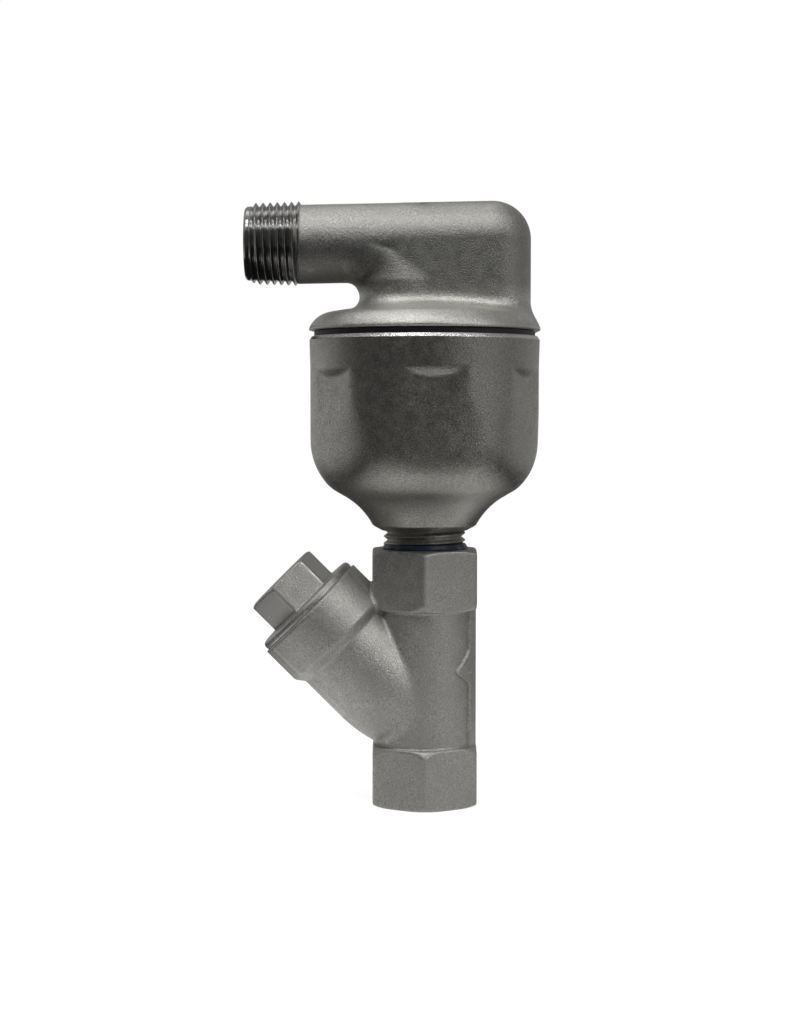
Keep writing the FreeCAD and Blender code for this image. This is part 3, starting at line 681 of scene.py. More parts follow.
def plug_field(x, y, z, casting):
    """The plug about Z, with z counted along the branch."""
    edge = casting.edge * PLUG_EDGE_SHARE
    radius = np.hypot(x, y)
    top = PLUG_FACE + PLUG_FLANGE_H
    flange = overlap(radius - PLUG_FLANGE, z - top, PLUG_RIM_BLEND)
    flange = overlap(flange, PLUG_FACE - z, EDGE_BREAK)
    turn = SIXTH_TURN / 2 - PLUG_TURN
    u = x * math.cos(turn) - y * math.sin(turn)
    v = x * math.sin(turn) + y * math.cos(turn)
    head = hexagon_field(u, v, PLUG_FLAT, edge)
    head_top = top + PLUG_HEAD_H
    rim = (PLUG_FLAT + HEX_MARGIN, head_top)
    bevel = cone_field(radius, z, (past_corner(PLUG_FLAT), head_top - PLUG_BEVEL), rim)
    head = overlap(overlap(head, bevel, edge * 0.5), z - head_top, edge)
    head = np.maximum(head, PLUG_FACE - z)
    span = np.maximum(COLLAR_END - PLUG_SHANK - z, z - PLUG_FACE - PLUG_SHANK_LAP)
    shank = np.maximum(radius - PLUG_ROOT, span)
    field = join(join(head, flange, PLUG_HEAD_ROOT), shank, PLUG_SHANK_ROOT)
    recess = np.maximum(radius - PLUG_RECESS, z - PLUG_RECESS_END)
    return cut_out(field, recess, EDGE_BREAK)


# The bowl

FOOT_Z = 70.5 * MM
FOOT_RADIUS = 10.9 * MM
FOOT_BEVEL = (12.75 * MM, 71.5 * MM)
BAND_PROUD = 0.2 * MM
BELLY_Z = 93.6 * MM
BELLY_RADIUS = 17.0 * MM
KNUCKLE_RADIUS = 10.0 * MM
FLARE_LINE = 2.5 * MM
FLARE_RADIUS = 18.5 * MM
BELLY_END = math.radians(-40)
FLARE_ANGLE = math.radians(-60)
BOWL_WALL = 2.7 * MM
NIPPLE_FOOT = 54.8 * MM
NIPPLE_CORE = 9.2 * MM
NIPPLE_BORE = 6.75 * MM
FUNNEL_Z = 75.0 * MM
LEDGE_TOP = 112.2 * MM
LEDGE_H = 2.9 * MM
FLAT_TURN = math.radians(33.9)
RIM_BEVEL = 0.6 * MM
RIM_DROP = 0.95 * MM
FLARE_MARGIN = 0.4 * MM
BOWL_ROUND = 0.25 * MM
BOWL_ARC_POINTS = 4
BOWL_SPACING = 0.55 * MM
BOWL_COLUMNS = 360
BELLY_STEPS = 16
KNUCKLE_STEPS = 8
FLARE_STEPS = 22
# The flats' side edges, which are crisper by the ledge and fade out towards the belly
FLAT_EDGE = 0.6 * MM
FLAT_CRISP = 0.3 * MM
FLAT_FADE = 2.6 * MM
CRISP_START = 1 * MM
CRISP_LENGTH = 1.5 * MM
FADE_START = 6 * MM
FADE_LENGTH = 10 * MM
LEDGE_BEND = 0.9
LEDGE_CREASE = 0.25 * MM
FOOT_CLEAR = 4 * MM
SIDE_REACH = 4 * MM
SKIN_DEPTH = 2 * MM


def arc(centre, radius, start, end, steps):
    """Points on an arc, from one angle to another."""
    turns = [start + (end - start) * i / steps for i in range(steps + 1)]
    return [centre + Vector((math.cos(a), math.sin(a))) * radius for a in turns]


def bowl_side(inset, foot_level):
    """Points down the bowl's side, from the belly to the flare's foot, moved inwards by inset."""
    belly = Vector((BOWL_RADIUS - BAND_PROUD - BELLY_RADIUS, BELLY_Z))
    belly_end = Vector((math.cos(BELLY_END), math.sin(BELLY_END)))
    knuckle = belly + belly_end * (BELLY_RADIUS - KNUCKLE_RADIUS)
    outwards = Vector((math.cos(FLARE_ANGLE), math.sin(FLARE_ANGLE)))
    down = Vector((math.sin(FLARE_ANGLE), -math.cos(FLARE_ANGLE)))
    flare = knuckle + outwards * KNUCKLE_RADIUS + down * FLARE_LINE + outwards * FLARE_RADIUS
    radius = FLARE_RADIUS + inset
    end = math.pi - math.asin((foot_level - flare.y) / radius)
    points = arc(belly, BELLY_RADIUS - inset, 0, BELLY_END, BELLY_STEPS)[:-1]
    points += arc(knuckle, KNUCKLE_RADIUS - inset, BELLY_END, FLARE_ANGLE, KNUCKLE_STEPS)
    points += arc(flare, radius, math.pi + FLARE_ANGLE, end, FLARE_STEPS)
    return [tuple(p) for p in points]


def bowl_outline():
    """The bowl's section, down the outside, round the nipple and up the inside."""
    rim = BOWL_RADIUS - RIM_BEVEL
    inner = BOWL_RADIUS - BAND_PROUD - BOWL_WALL
    outer_side = bowl_side(0, FOOT_BEVEL[1] + FLARE_MARGIN)
    inner_side = bowl_side(BOWL_WALL, FUNNEL_Z)
    corners = [(BOWL_RADIUS, BOWL_TOP - RIM_DROP), (BOWL_RADIUS - BAND_PROUD, LEDGE_TOP)]
    corners += outer_side
    corners += [
        FOOT_BEVEL, (FOOT_RADIUS, FOOT_Z), (NIPPLE_CORE, FOOT_Z), (NIPPLE_CORE, NIPPLE_FOOT),
        (NIPPLE_BORE, NIPPLE_FOOT), (NIPPLE_BORE, FOOT_Z),
    ]
    corners += inner_side[::-1]
    corners += [(inner, BOWL_TOP), (rim, BOWL_TOP)]
    return spaced(rounded(corners, BOWL_ROUND, BOWL_ARC_POINTS), BOWL_SPACING)


def bowl_shape(depth):
    """Cuts the six wrench flats into the bowl's outer side, under a sloped ledge."""
    flat = BOWL_RADIUS - BAND_PROUD - depth
    inner = BOWL_RADIUS - BAND_PROUD - BOWL_WALL / 2
    ledge_foot = LEDGE_TOP - LEDGE_H

    def shape(r, z, angle):
        spot = np.mod(angle - FLAT_TURN + SIXTH_TURN / 2, SIXTH_TURN) - SIXTH_TURN / 2
        plane = flat / np.cos(spot)
        share = np.maximum(z - ledge_foot, 0) / LEDGE_H
        ledge = flat + share ** LEDGE_BEND * (BOWL_RADIUS - flat) + np.minimum(z - ledge_foot, 0)
        limit = -join(-plane, -ledge, LEDGE_CREASE)
        outer = r + 0 * angle
        low = np.clip((ledge_foot - FADE_START - z) / FADE_LENGTH, 0, 1)
        near = np.clip((z - ledge_foot + CRISP_START) / CRISP_LENGTH, 0, 1)
        cut = join(outer, limit, FLAT_EDGE + FLAT_FADE * low - FLAT_CRISP * near)
        below = (z > FOOT_Z + FOOT_CLEAR) & (z < BELLY_Z) & (r > flat - SIDE_REACH)
        on_outside = (r > inner) | below
        return np.where(on_outside & (outer > flat - SKIN_DEPTH), cut, outer)

    return shape


# Threads, cut into sleeves that start at a plain radius, their side

THREAD_STEP = 0.08 * MM
INNER_THREAD_STEP = 0.12 * MM
SAME_PLACE = 1e-7
BEVEL_SLOPE = 0.9
MOUTH_BEVEL = 0.4 * MM
PIPE_TAPER = 1 / 32
OUTLET_SIDE = 10 * MM
OUTLET_CREST = 10.25 * MM
OUTLET_ROOT = 9.35 * MM
OUTLET_NOSE = 8.85 * MM
OUTLET_LEAD = 1.3 * MM
OUTLET_LAP = 1 * MM
NIPPLE_SIDE = 10.5 * MM
NIPPLE_CREST = 10.55 * MM
NIPPLE_DEPTH = 1.05 * MM
NIPPLE_SUNK = 1.5 * MM
NIPPLE_LAP = 0.3 * MM
INLET_SIDE = 9.9 * MM
INLET_CREST = 9.55 * MM
INLET_DEPTH = 1.0 * MM
COLLAR_SIDE = 11.9 * MM
COLLAR_CREST = 11.8 * MM
SHANK_SIDE = 11.7 * MM
SHANK_CREST = 11.72 * MM
PLUG_THREAD_DEPTH = 0.5 * MM
SLEEVE_LAP = 0.2 * MM
SHANK_BACK = 0.4 * MM
SHANK_FOOT = 0.1 * MM
SHANK_RELIEF = 0.6 * MM


def thread_outline(back, side, low, high, spacing):
    """A closed section of a sleeve, close spaced on the threaded side, which is its last stretch."""
    rows = math.ceil((high - low) / spacing)
    plain = [(back, high), (back, low)]
    threaded = [(side, low + (high - low) * i / rows) for i in range(rows + 1)]
    return plain + threaded


def thread_ridge(z, angle, pitch, start=0.0):
    """Height of a right hand thread from 0 at its root to 1 at its crest, both slightly rounded."""
    phase = np.mod(z / pitch - start - angle / (2 * math.pi), 1.0)
    rise = 1 - np.abs(2 * phase - 1)
    return 0.5 * rise + 0.5 * rise ** 2 * (3 - 2 * rise)


def on_side(r, angle, side, made):
    """Gives made where the outline runs at the radius side, and the outline elsewhere."""
    return np.where(np.abs(r - side) < SAME_PLACE, made, r + 0 * angle)


def outer_thread(side, pitch, depth, crest):
    """Cuts a right hand thread into the outer side of a sleeve."""
    def shape(r, z, angle):
        return on_side(r, angle, side, crest - depth * (1 - thread_ridge(z, angle, pitch)))

    return shape


def inner_thread(side, pitch, depth, crest, mouth):
    """Cuts a right hand thread into the inner side of a sleeve, with a small bevel at its mouth."""
    def shape(r, z, angle):
        cut = crest + depth * (1 - thread_ridge(z, angle, pitch))
        return on_side(r, angle, side, np.maximum(cut, crest + depth - np.abs(z - mouth) * BEVEL_SLOPE))

    return shape


def taper_thread(side, pitch, depth, crest, start):
    """Cuts the outlet's taper thread, which fades in behind a plain bevelled lead."""
    def shape(r, z, angle):
        cut = crest + PIPE_TAPER * z - depth * (1 - thread_ridge(z, angle, pitch, start))
        plain = np.minimum(OUTLET_NOSE + z * BEVEL_SLOPE, OUTLET_ROOT)
        fade = OUTLET_ROOT + np.maximum(z - OUTLET_LEAD, 0) * BEVEL_SLOPE
        return on_side(r, angle, side, np.where(z < OUTLET_LEAD, plain, np.minimum(cut, fade)))

    return shape


def sleeve(name, outline, columns, shape, place=None):
    return finished(name, lathe(name, outline, columns, place, shape))


# Finishes

def add(tree, kind, **values):
    node = tree.nodes.new(kind)
    for key, value in values.items():
        if hasattr(node, key):
            setattr(node, key, value)
        else:
            node.inputs[key.replace("_", " ")].default_value = value
    return node


def new_finish(name, colour, metallic, roughness):
    material = bpy.data.materials.new(name)
    material.use_nodes = True
    tree = material.node_tree
    shader = tree.nodes["Principled BSDF"]
    shader.inputs["Base Color"].default_value = (*colour, 1)
    shader.inputs["Metallic"].default_value = metallic
    shader.inputs["Roughness"].default_value = roughness
    place = add(tree, "ShaderNodeTexCoord").outputs["Object"]
    return material, tree, shader, place


def feed(tree, socket, value):
    """Links a socket to another one, or sets it."""
    if isinstance(value, bpy.types.NodeSocket):
        tree.links.new(value, socket)
    else:
        socket.default_value = value


def noise(tree, place, size, detail, stretch=None):
    """Noise whose features are about size across, stretched along an axis if asked."""
    if stretch is not None:
        mapping = add(tree, "ShaderNodeMapping", Scale=stretch)
        tree.links.new(place, mapping.inputs["Vector"])
        place = mapping.outputs["Vector"]
    node = add(tree, "ShaderNodeTexNoise", Scale=1 / size, Detail=detail, Roughness=0.55)
    tree.links.new(place, node.inputs["Vector"])
    return node.outputs["Fac"]


def ranged(tree, value, low, high, from_low=0.3, from_high=0.7):
    """A value carried from one range to another. The usual one is where noise has most of its values."""
    names = ("From Min", "From Max", "To Min", "To Max")
    node = add(tree, "ShaderNodeMapRange")
    for name, number in zip(names, (from_low, from_high, low, high)):
        node.inputs[name].default_value = number
    tree.links.new(value, node.inputs["Value"])
    return node.outputs["Result"]


def mixed(tree, factor, first, second, blend="MIX"):
    """Blends two colours, each a socket or three numbers."""
    node = add(tree, "ShaderNodeMix", data_type="RGBA", blend_type=blend)
    sockets = [s for s in node.inputs if s.type == "RGBA"]
    for socket, value in zip(sockets, (first, second)):
        feed(tree, socket, value if isinstance(value, bpy.types.NodeSocket) else (*value, 1))
    feed(tree, node.inputs[0], factor)
    return [s for s in node.outputs if s.type == "RGBA"][0]


def height_in(tree):
    """Height over the floor, from the object's own coordinates."""
    split = add(tree, "ShaderNodeSeparateXYZ")
    tree.links.new(add(tree, "ShaderNodeTexCoord").outputs["Object"], split.inputs[0])
    return split.outputs["Z"]


def smoothed(tree, shader, share, roughness):
    """Carries the shader's roughness towards a value where share is one."""
    blend = add(tree, "ShaderNodeMix", data_type="FLOAT")
    tree.links.new(share, blend.inputs[0])
    tree.links.new(shader.inputs["Roughness"].links[0].from_socket, blend.inputs[2])
    blend.inputs[3].default_value = roughness
    tree.links.new(blend.outputs[0], shader.inputs["Roughness"])


def bumped(tree, shader, layers):
    """Lays bumps over each other, each a height, a strength and a depth."""
    below = None
    for height, strength, depth in layers:
        bump = add(tree, "ShaderNodeBump", Strength=strength, Distance=depth)
        tree.links.new(height, bump.inputs["Height"])
        if below is not None:
            tree.links.new(below, bump.inputs["Normal"])
        below = bump.outputs["Normal"]
    tree.links.new(below, shader.inputs["Normal"])


def coloured(tree, shader, tint):
    """Lets the shader's base colour follow a tint."""
    tree.links.new(tint, shader.inputs["Base Color"])


def roughened(tree, shader, value, low, high):
    """Lets the shader's roughness follow a value."""
    tree.links.new(ranged(tree, value, low, high), shader.inputs["Roughness"])


def scaled_colour(colour, factor):
    return tuple(min(c * factor, 1) for c in colour)


def speckled(tree, value, colour, darker, brighter):
    """A colour that goes from a darker to a brighter share of itself with a value."""
    share = ranged(tree, value, 0, 1)
    return mixed(tree, share, scaled_colour(colour, darker), scaled_colour(colour, brighter))


# Blasted steel: its waves in grains, its clouds, its paler edges where the curve is sharp, partly wear and
# partly a painted highlight, and how the roughness varies. A bump is a strength and a depth
MIDDLE_GRAINS = 2.4
BROAD_GRAINS = 7
CLOUD_SIZE = 9 * MM
CLOUD_SHARE = 0.5
CLOUD_SHADE = 0.86
WORN_AND_GLINT_POINTINESS = (0.53, 0.60)
WORN_AND_GLINT_SHADE = 1.22
BLASTED_LESS = 0.05
BLASTED_MORE = 0.06
BROAD_BUMP = (0.15, 0.05 * MM)
MIDDLE_BUMP = (0.45, 0.07 * MM)
FINE_BUMP = (1.0, 0.12 * MM)


def blasted_steel(name, colour, grain, roughness, peel=1.0, mottle=0.38):
    """Bead blasted cast stainless steel: fine grain over a slight orange peel, and paler sharp edges, partly
    wear and partly a painted highlight.
    """
    material, tree, shader, place = new_finish(name, colour, 1.0, roughness)
    fine = noise(tree, place, grain, 3)
    middle = noise(tree, place, grain * MIDDLE_GRAINS, 2)
    broad = noise(tree, place, grain * BROAD_GRAINS, 2)
    cloud = noise(tree, place, CLOUD_SIZE, 3)
    tint = speckled(tree, fine, colour, 1 - mottle, 1 + mottle)
    tint = mixed(tree, ranged(tree, cloud, 0, CLOUD_SHARE), tint, scaled_colour(colour, CLOUD_SHADE))
    # Sharp edges are paler: partly wear, partly a painted highlight
    pointiness = add(tree, "ShaderNodeNewGeometry").outputs["Pointiness"]
    worn_and_glint = ranged(tree, pointiness, 0, 1, *WORN_AND_GLINT_POINTINESS)
    coloured(tree, shader, mixed(tree, worn_and_glint, tint, scaled_colour(colour, WORN_AND_GLINT_SHADE)))
    roughened(tree, shader, broad, roughness - BLASTED_LESS, roughness + BLASTED_MORE)
    waves = ((broad, BROAD_BUMP), (middle, MIDDLE_BUMP), (fine, FINE_BUMP))
    bumped(tree, shader, [(height, strength * peel, depth) for height, (strength, depth) in waves])
    return material


# The cover's dome is smoother than its head and gets a painted highlight, a brighter colour; surfaces that
# face down on the head and arm get painted shade, a darker colour
DOME_TINT_TOP = 133 * MM
DOME_TINT_FADE = 4 * MM
DOME_PAINTED_HIGHLIGHT = (1.4, 1.4, 1.4)
DOME_ROUGHNESS = 0.40
PAINTED_SHADE_SLOPES = (-0.40, 0.10)
PAINTED_SHADE_TINT = 0.52


def cover_steel(name, colour, grain, roughness):
    """The castings' blasted steel with a painted highlight on the cover's dome and painted shade under its
    head and arm.
    """
    material = blasted_steel(name, colour, grain, roughness)
    tree = material.node_tree
    shader = tree.nodes["Principled BSDF"]
    # Painted highlight: the dome below the head gets a brighter colour; its smoother finish is in the
    # roughness
    dome = ranged(tree, height_in(tree), 1, 0, DOME_TINT_TOP - DOME_TINT_FADE, DOME_TINT_TOP)
    # Painted shade: surfaces whose normal points down are darkened in the colour
    slope = add(tree, "ShaderNodeSeparateXYZ")
    tree.links.new(add(tree, "ShaderNodeNewGeometry").outputs["Normal"], slope.inputs[0])
    under = ranged(tree, slope.outputs["Z"], PAINTED_SHADE_TINT, 1, *PAINTED_SHADE_SLOPES)
    tint = shader.inputs["Base Color"].links[0].from_socket
    coloured(tree, shader, mixed(tree, 1.0, tint, mixed(tree, dome, under, DOME_PAINTED_HIGHLIGHT), "MULTIPLY"))
    smoothed(tree, shader, dome, DOME_ROUGHNESS)
    return material


# The bevel on the bowl's rim is left bright from the lathe
RIM_COLOUR = (0.92, 0.915, 0.90)
RIM_ROUGHNESS = 0.20
RIM_TINT_FADE = (0.15 * MM, 0.05 * MM)


def bowl_steel(name, colour, grain, roughness, peel, mottle):
    """The bowl's blasted steel with its turned rim."""
    material = blasted_steel(name, colour, grain, roughness, peel, mottle)
    tree = material.node_tree
    shader = tree.nodes["Principled BSDF"]
    edge = BOWL_TOP - RIM_DROP
    rim = ranged(tree, height_in(tree), 0, 1, edge - RIM_TINT_FADE[0], edge + RIM_TINT_FADE[1])
    tint = shader.inputs["Base Color"].links[0].from_socket
    coloured(tree, shader, mixed(tree, rim, tint, RIM_COLOUR))
    smoothed(tree, shader, rim, RIM_ROUGHNESS)
    return material


# Cut steel: its cutting marks, which change quickly along the axis and little round it, and its stains
MARK_SIZE = 0.11 * MM
MARK_CHANGE = 0.06
MARK_SHADES = (0.88, 1.08)
MARK_BUMP = (0.25, 0.02 * MM)
STAIN_SIZE = 3.5 * MM
STAIN_SHARE = 0.4
STAIN_SHADE = 0.8
CUT_LESS = 0.04
CUT_MORE = 0.1


def cut_steel(name, colour, axis, roughness=0.2):
    """Bright machined steel with fine cutting marks round an axis."""
    material, tree, shader, place = new_finish(name, colour, 1.0, roughness)
    stretch = [1 if letter == axis else MARK_CHANGE for letter in "XYZ"]
    marks = noise(tree, place, MARK_SIZE, 3, stretch)
    stain = noise(tree, place, STAIN_SIZE, 2)
    tint = speckled(tree, marks, colour, *MARK_SHADES)
    tint = mixed(tree, ranged(tree, stain, 0, STAIN_SHARE), tint, scaled_colour(colour, STAIN_SHADE))
    coloured(tree, shader, tint)
    roughened(tree, shader, stain, roughness - CUT_LESS, roughness + CUT_MORE)
    bumped(tree, shader, [(marks, *MARK_BUMP)])
    return material


# Rolled sheet: its grain lines, which run along X, and its patches of sheen
LINE_SIZE = 0.16 * MM
LINE_STRETCH = (0.05, 1, 1)
LINE_SHADES = (0.9, 1.06)
LINE_BUMP = (0.2, 0.015 * MM)
SHEEN_SIZE = 5 * MM
SHEEN_ROUGHNESS = (0.24, 0.38)
SHEET_ROUGHNESS = 0.3


def rolled_steel(name, colour):
    """Rolled sheet: long faint grain lines and a soft sheen."""
    material, tree, shader, place = new_finish(name, colour, 1.0, SHEET_ROUGHNESS)
    lines = noise(tree, place, LINE_SIZE, 2, LINE_STRETCH)
    sheen = noise(tree, place, SHEEN_SIZE, 2)
    coloured(tree, shader, speckled(tree, lines, colour, *LINE_SHADES))
    roughened(tree, shader, sheen, *SHEEN_ROUGHNESS)
    bumped(tree, shader, [(lines, *LINE_BUMP)])
    return material


# The weld: its heat tints, how far its own colour covers them, and its ripples
STRAW = (0.52, 0.40, 0.24)
BLUE = (0.25, 0.28, 0.40)
TINT_SIZE = 2.5 * MM
WELD_COVER = 0.55
WELD_ROUGHNESS = 0.35
RIPPLE_SCALE = 420.0
RIPPLE_DISTORTION = 3.0
RIPPLE_BUMP = (0.5, 0.1 * MM)


def tinted_weld(name, colour):
    """A weld bead with ripples and straw to blue heat tint."""
    material, tree, shader, place = new_finish(name, colour, 1.0, WELD_ROUGHNESS)
    ripples = add(
        tree, "ShaderNodeTexWave", wave_type="RINGS", rings_direction="Z", Scale=RIPPLE_SCALE,
        Distortion=RIPPLE_DISTORTION,
    )
    tree.links.new(place, ripples.inputs["Vector"])
    heat = mixed(tree, ranged(tree, noise(tree, place, TINT_SIZE, 2), 0, 1), STRAW, BLUE)
    coloured(tree, shader, mixed(tree, WELD_COVER, heat, colour))
    bumped(tree, shader, [(ripples.outputs["Fac"], *RIPPLE_BUMP)])
    return material


# Seals: fine dust over uneven patches
DUST_SIZE = 0.25 * MM
DUST_BUMP = (0.4, 0.04 * MM)
PATCH_SIZE = 2.4 * MM
PATCH_BUMP = (0.4, 0.15 * MM)
SEAL_LESS = 0.08
SEAL_MORE = 0.1


def soft_seal(name, colour, roughness, spread):
    """Rubber, fluoropolymer sheet or dried sealant: dull, faintly dusty and uneven."""
    material, tree, shader, place = new_finish(name, colour, 0.0, roughness)
    dust = noise(tree, place, DUST_SIZE, 3)
    patches = noise(tree, place, PATCH_SIZE, 3)
    coloured(tree, shader, speckled(tree, patches, colour, 1 - spread, 1 + spread))
    roughened(tree, shader, dust, roughness - SEAL_LESS, roughness + SEAL_MORE)
    bumped(tree, shader, [(patches, *PATCH_BUMP), (dust, *DUST_BUMP)])
    return material


# Colours of the pieces inside, and the share of the machined colour that the outlet's thread shows
SHEET_COLOUR = (0.78, 0.77, 0.73)
ROLLED_COLOUR = (0.6, 0.6, 0.59)
SPRING_COLOUR = (0.4, 0.4, 0.41)
SPUN_COLOUR = (0.63, 0.63, 0.62)
WELD_COLOUR = (0.46, 0.43, 0.4)
OUTLET_SHADE = 0.78

FINISHES = {}


def finish(name, maker, **values):
    """A finish made once and then shared."""
    if name not in FINISHES:
        FINISHES[name] = maker(name, **values)
    return FINISHES[name]


def dress(piece, material):
    piece.data.materials.clear()
    piece.data.materials.append(material)
    return piece


def dress_node(name, material):
    """Gives a carried over piece its finish without touching its mesh."""
    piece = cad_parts[name]
    if not piece.material_slots:
        piece.data.materials.append(material)
    for slot in piece.material_slots:
        slot.material = material


def placed(piece, body, node):
    """Ties a piece to its body and the node that it stands for."""
    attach(piece, body)
    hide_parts(node)


def cast_finish(settings):
    return finish(
        "blasted_casting", blasted_steel, colour=settings.cast_colour, grain=settings.grain, roughness=0.50,
    )


def cover_finish(settings):
    return finish(
        "blasted_cover", cover_steel, colour=settings.cast_colour, grain=settings.grain, roughness=0.44,
    )


def bowl_finish(settings):
    return finish(
        "blasted_bowl", bowl_steel, colour=settings.bowl_colour, grain=settings.grain, roughness=0.36,
        peel=0.9, mottle=0.48,
    )


def plug_finish(settings):
    return finish(
        "blasted_plug", blasted_steel, colour=settings.plug_colour, grain=settings.grain, roughness=0.46,
        peel=0.55,
    )


def thread_finish(settings):
    return finish("machined_thread", cut_steel, colour=settings.machined_colour, axis="X")


def outlet_finish(settings):
    colour = scaled_colour(settings.machined_colour, OUTLET_SHADE)
    return finish("outlet_steel", cut_steel, colour=colour, axis="X", roughness=0.17)


class VALVE_OT_build_cover(Operator):
    """Makes the domed cover with its head and outlet arm"""
    bl_idname = "valve.build_cover"
    bl_label = "Build cover"

    def execute(self, context):
        casting = context.scene.valve_casting
        low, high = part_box("cover_casting")

        def field(x, y, z):
            return cover_field(x, y, z, casting)

        corner = (ARM_END - GRID_MARGIN, low.y, low.z)
        mesh = surface_of("cover_shell", field, corner, high, casting.step)
        piece = dress(finished("cover_shell", mesh), cover_finish(context.scene.valve_finish))
        placed(piece, "valve_body", "cover_casting")
        return {"FINISHED"}


class VALVE_OT_build_outlet_thread(Operator):
    """Makes the male pipe thread at the end of the outlet arm"""
    bl_idname = "valve.build_outlet_thread"
    bl_label = "Build outlet thread"

    def execute(self, context):
        threads = context.scene.valve_thread
        length = ARM_END - OUTLET_END + OUTLET_LAP
        outline = thread_outline(OUTLET_BORE, OUTLET_SIDE, 0, length, THREAD_STEP)
        shape = taper_thread(OUTLET_SIDE, threads.pitch, threads.depth, OUTLET_CREST, threads.start)
        place = Matrix.Translation((OUTLET_END, 0, OUTLET_Z)) @ Matrix.Rotation(RIGHT_ANGLE, 4, "Y")
        piece = sleeve("outlet_thread", outline, 2 * threads.columns, shape, place)
        dress(piece, outlet_finish(context.scene.valve_finish))
        placed(piece, "valve_body", "cover_casting")
        return {"FINISHED"}


class VALVE_OT_build_bowl(Operator):
    """Makes the float bowl with its wrench flats and flared foot"""
    bl_idname = "valve.build_bowl"
    bl_label = "Build bowl"

    def execute(self, context):
        depth = context.scene.valve_casting.flat_depth
        mesh = lathe("bowl_shell", bowl_outline(), BOWL_COLUMNS, None, bowl_shape(depth))
        piece = dress(finished("bowl_shell", mesh), bowl_finish(context.scene.valve_finish))
        placed(piece, "valve_body", "float_bowl")
        return {"FINISHED"}


class VALVE_OT_build_strainer(Operator):
    """Makes the strainer's body with its two hexes, flow rib and branch"""
    bl_idname = "valve.build_strainer"
    bl_label = "Build strainer"

    def execute(self, context):
        casting = context.scene.valve_casting
        low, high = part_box("strainer_body")

        def field(x, y, z):
            return strainer_field(x, y, z, casting)

        shell = surface_of("strainer_shell", field, low, high, casting.step)
        for name, mesh in (("strainer_shell", shell), ("flow_rib", flow_rib())):
            piece = dress(finished(name, mesh), cast_finish(context.scene.valve_finish))
            placed(piece, "valve_body", "strainer_body")
        return {"FINISHED"}


class VALVE_OT_build_plug(Operator):
    """Makes the strainer's plug with its flange, head and threaded shank"""
    bl_idname = "valve.build_plug"
    bl_label = "Build plug"

    def execute(self, context):
        casting = context.scene.valve_casting

        def field(x, y, z):
            return plug_field(x, y, z, casting)

        low = (-PLUG_FLANGE, -PLUG_FLANGE, COLLAR_END - PLUG_SHANK)
        high = (PLUG_FLANGE, PLUG_FLANGE, PLUG_FACE + PLUG_FLANGE_H + PLUG_HEAD_H)
        mesh = surface_of("plug_shell", field, low, high, casting.step * PLUG_STEP_SHARE)
        mesh.transform(branch_place())
        piece = dress(finished("plug_shell", mesh), plug_finish(context.scene.valve_finish))
        placed(piece, "blowdown_plug", "strainer_plug")
        return {"FINISHED"}


class VALVE_OT_build_threads(Operator):
    """Makes the threads of the nipple, the inlet, the collar and the plug"""
    bl_idname = "valve.build_threads"
    bl_label = "Build threads"

    def execute(self, context):
        threads = context.scene.valve_thread
        finishes = context.scene.valve_finish
        columns = threads.columns
        machined = thread_finish(finishes)

        foot = STRAINER_TOP - NIPPLE_SUNK
        top = FOOT_Z + NIPPLE_LAP
        outline = thread_outline(NIPPLE_CORE - NIPPLE_LAP, NIPPLE_SIDE, foot, top, THREAD_STEP)
        shape = outer_thread(NIPPLE_SIDE, threads.pitch, NIPPLE_DEPTH, NIPPLE_CREST)
        nipple = dress(sleeve("nipple_thread", outline, columns, shape), bowl_finish(finishes))
        placed(nipple, "valve_body", "float_bowl")

        back = PIPE_MAJOR + SLEEVE_LAP
        outline = thread_outline(back, INLET_SIDE, MOUTH_BEVEL, PIPE_DEPTH, INNER_THREAD_STEP)
        shape = inner_thread(INLET_SIDE, threads.pitch, INLET_DEPTH, INLET_CREST, MOUTH_BEVEL)
        inlet = dress(sleeve("inlet_thread", outline, columns, shape), machined)
        placed(inlet, "valve_body", "strainer_body")

        back = PLUG_MAJOR + SLEEVE_LAP
        mouth = COLLAR_END - MOUTH_BEVEL
        outline = thread_outline(back, COLLAR_SIDE, COLLAR_END - PLUG_DEPTH, mouth, INNER_THREAD_STEP)
        shape = inner_thread(COLLAR_SIDE, threads.plug_pitch, PLUG_THREAD_DEPTH, COLLAR_CREST, mouth)
        collar = dress(sleeve("collar_thread", outline, columns, shape, branch_place()), machined)
        placed(collar, "valve_body", "strainer_body")

        back = PLUG_RECESS + SHANK_BACK
        foot = COLLAR_END - PLUG_SHANK + SHANK_FOOT
        outline = thread_outline(back, SHANK_SIDE, foot, PLUG_FACE - SHANK_RELIEF, INNER_THREAD_STEP)
        shape = outer_thread(SHANK_SIDE, threads.plug_pitch, PLUG_THREAD_DEPTH, SHANK_CREST)
        shank = dress(sleeve("plug_thread", outline, columns, shape, branch_place()), machined)
        placed(shank, "blowdown_plug", "strainer_plug")
        return {"FINISHED"}


# The sealant, and the waves that make its edge uneven: each a share, a count and a shift
SEALANT_WALL = 0.5 * MM
SEALANT_SHOULDER = 0.3 * MM
SEALANT_ROUND = 0.4 * MM
SEALANT_SPACING = 0.2 * MM
SEALANT_COLUMNS = 240
SEALANT_WAVES = ((0.28, 3, 0.6), (0.2, 7, 2), (0.12, 17, 1))
SEALANT_INSET = 0.6
SEALANT_SWELL = 0.55 * MM


def sealant_outline():
    outer = SEALANT_HIGH.x
    low = SEALANT_LOW.z
    high = SEALANT_HIGH.z
    corners = [
        (NIPPLE_CORE, low), (outer, low), (outer, low + SEALANT_WALL),
        (outer - SEALANT_WALL, high - SEALANT_SHOULDER), (NIPPLE_CORE, high),
    ]
    return spaced(rounded(corners, SEALANT_ROUND), SEALANT_SPACING)


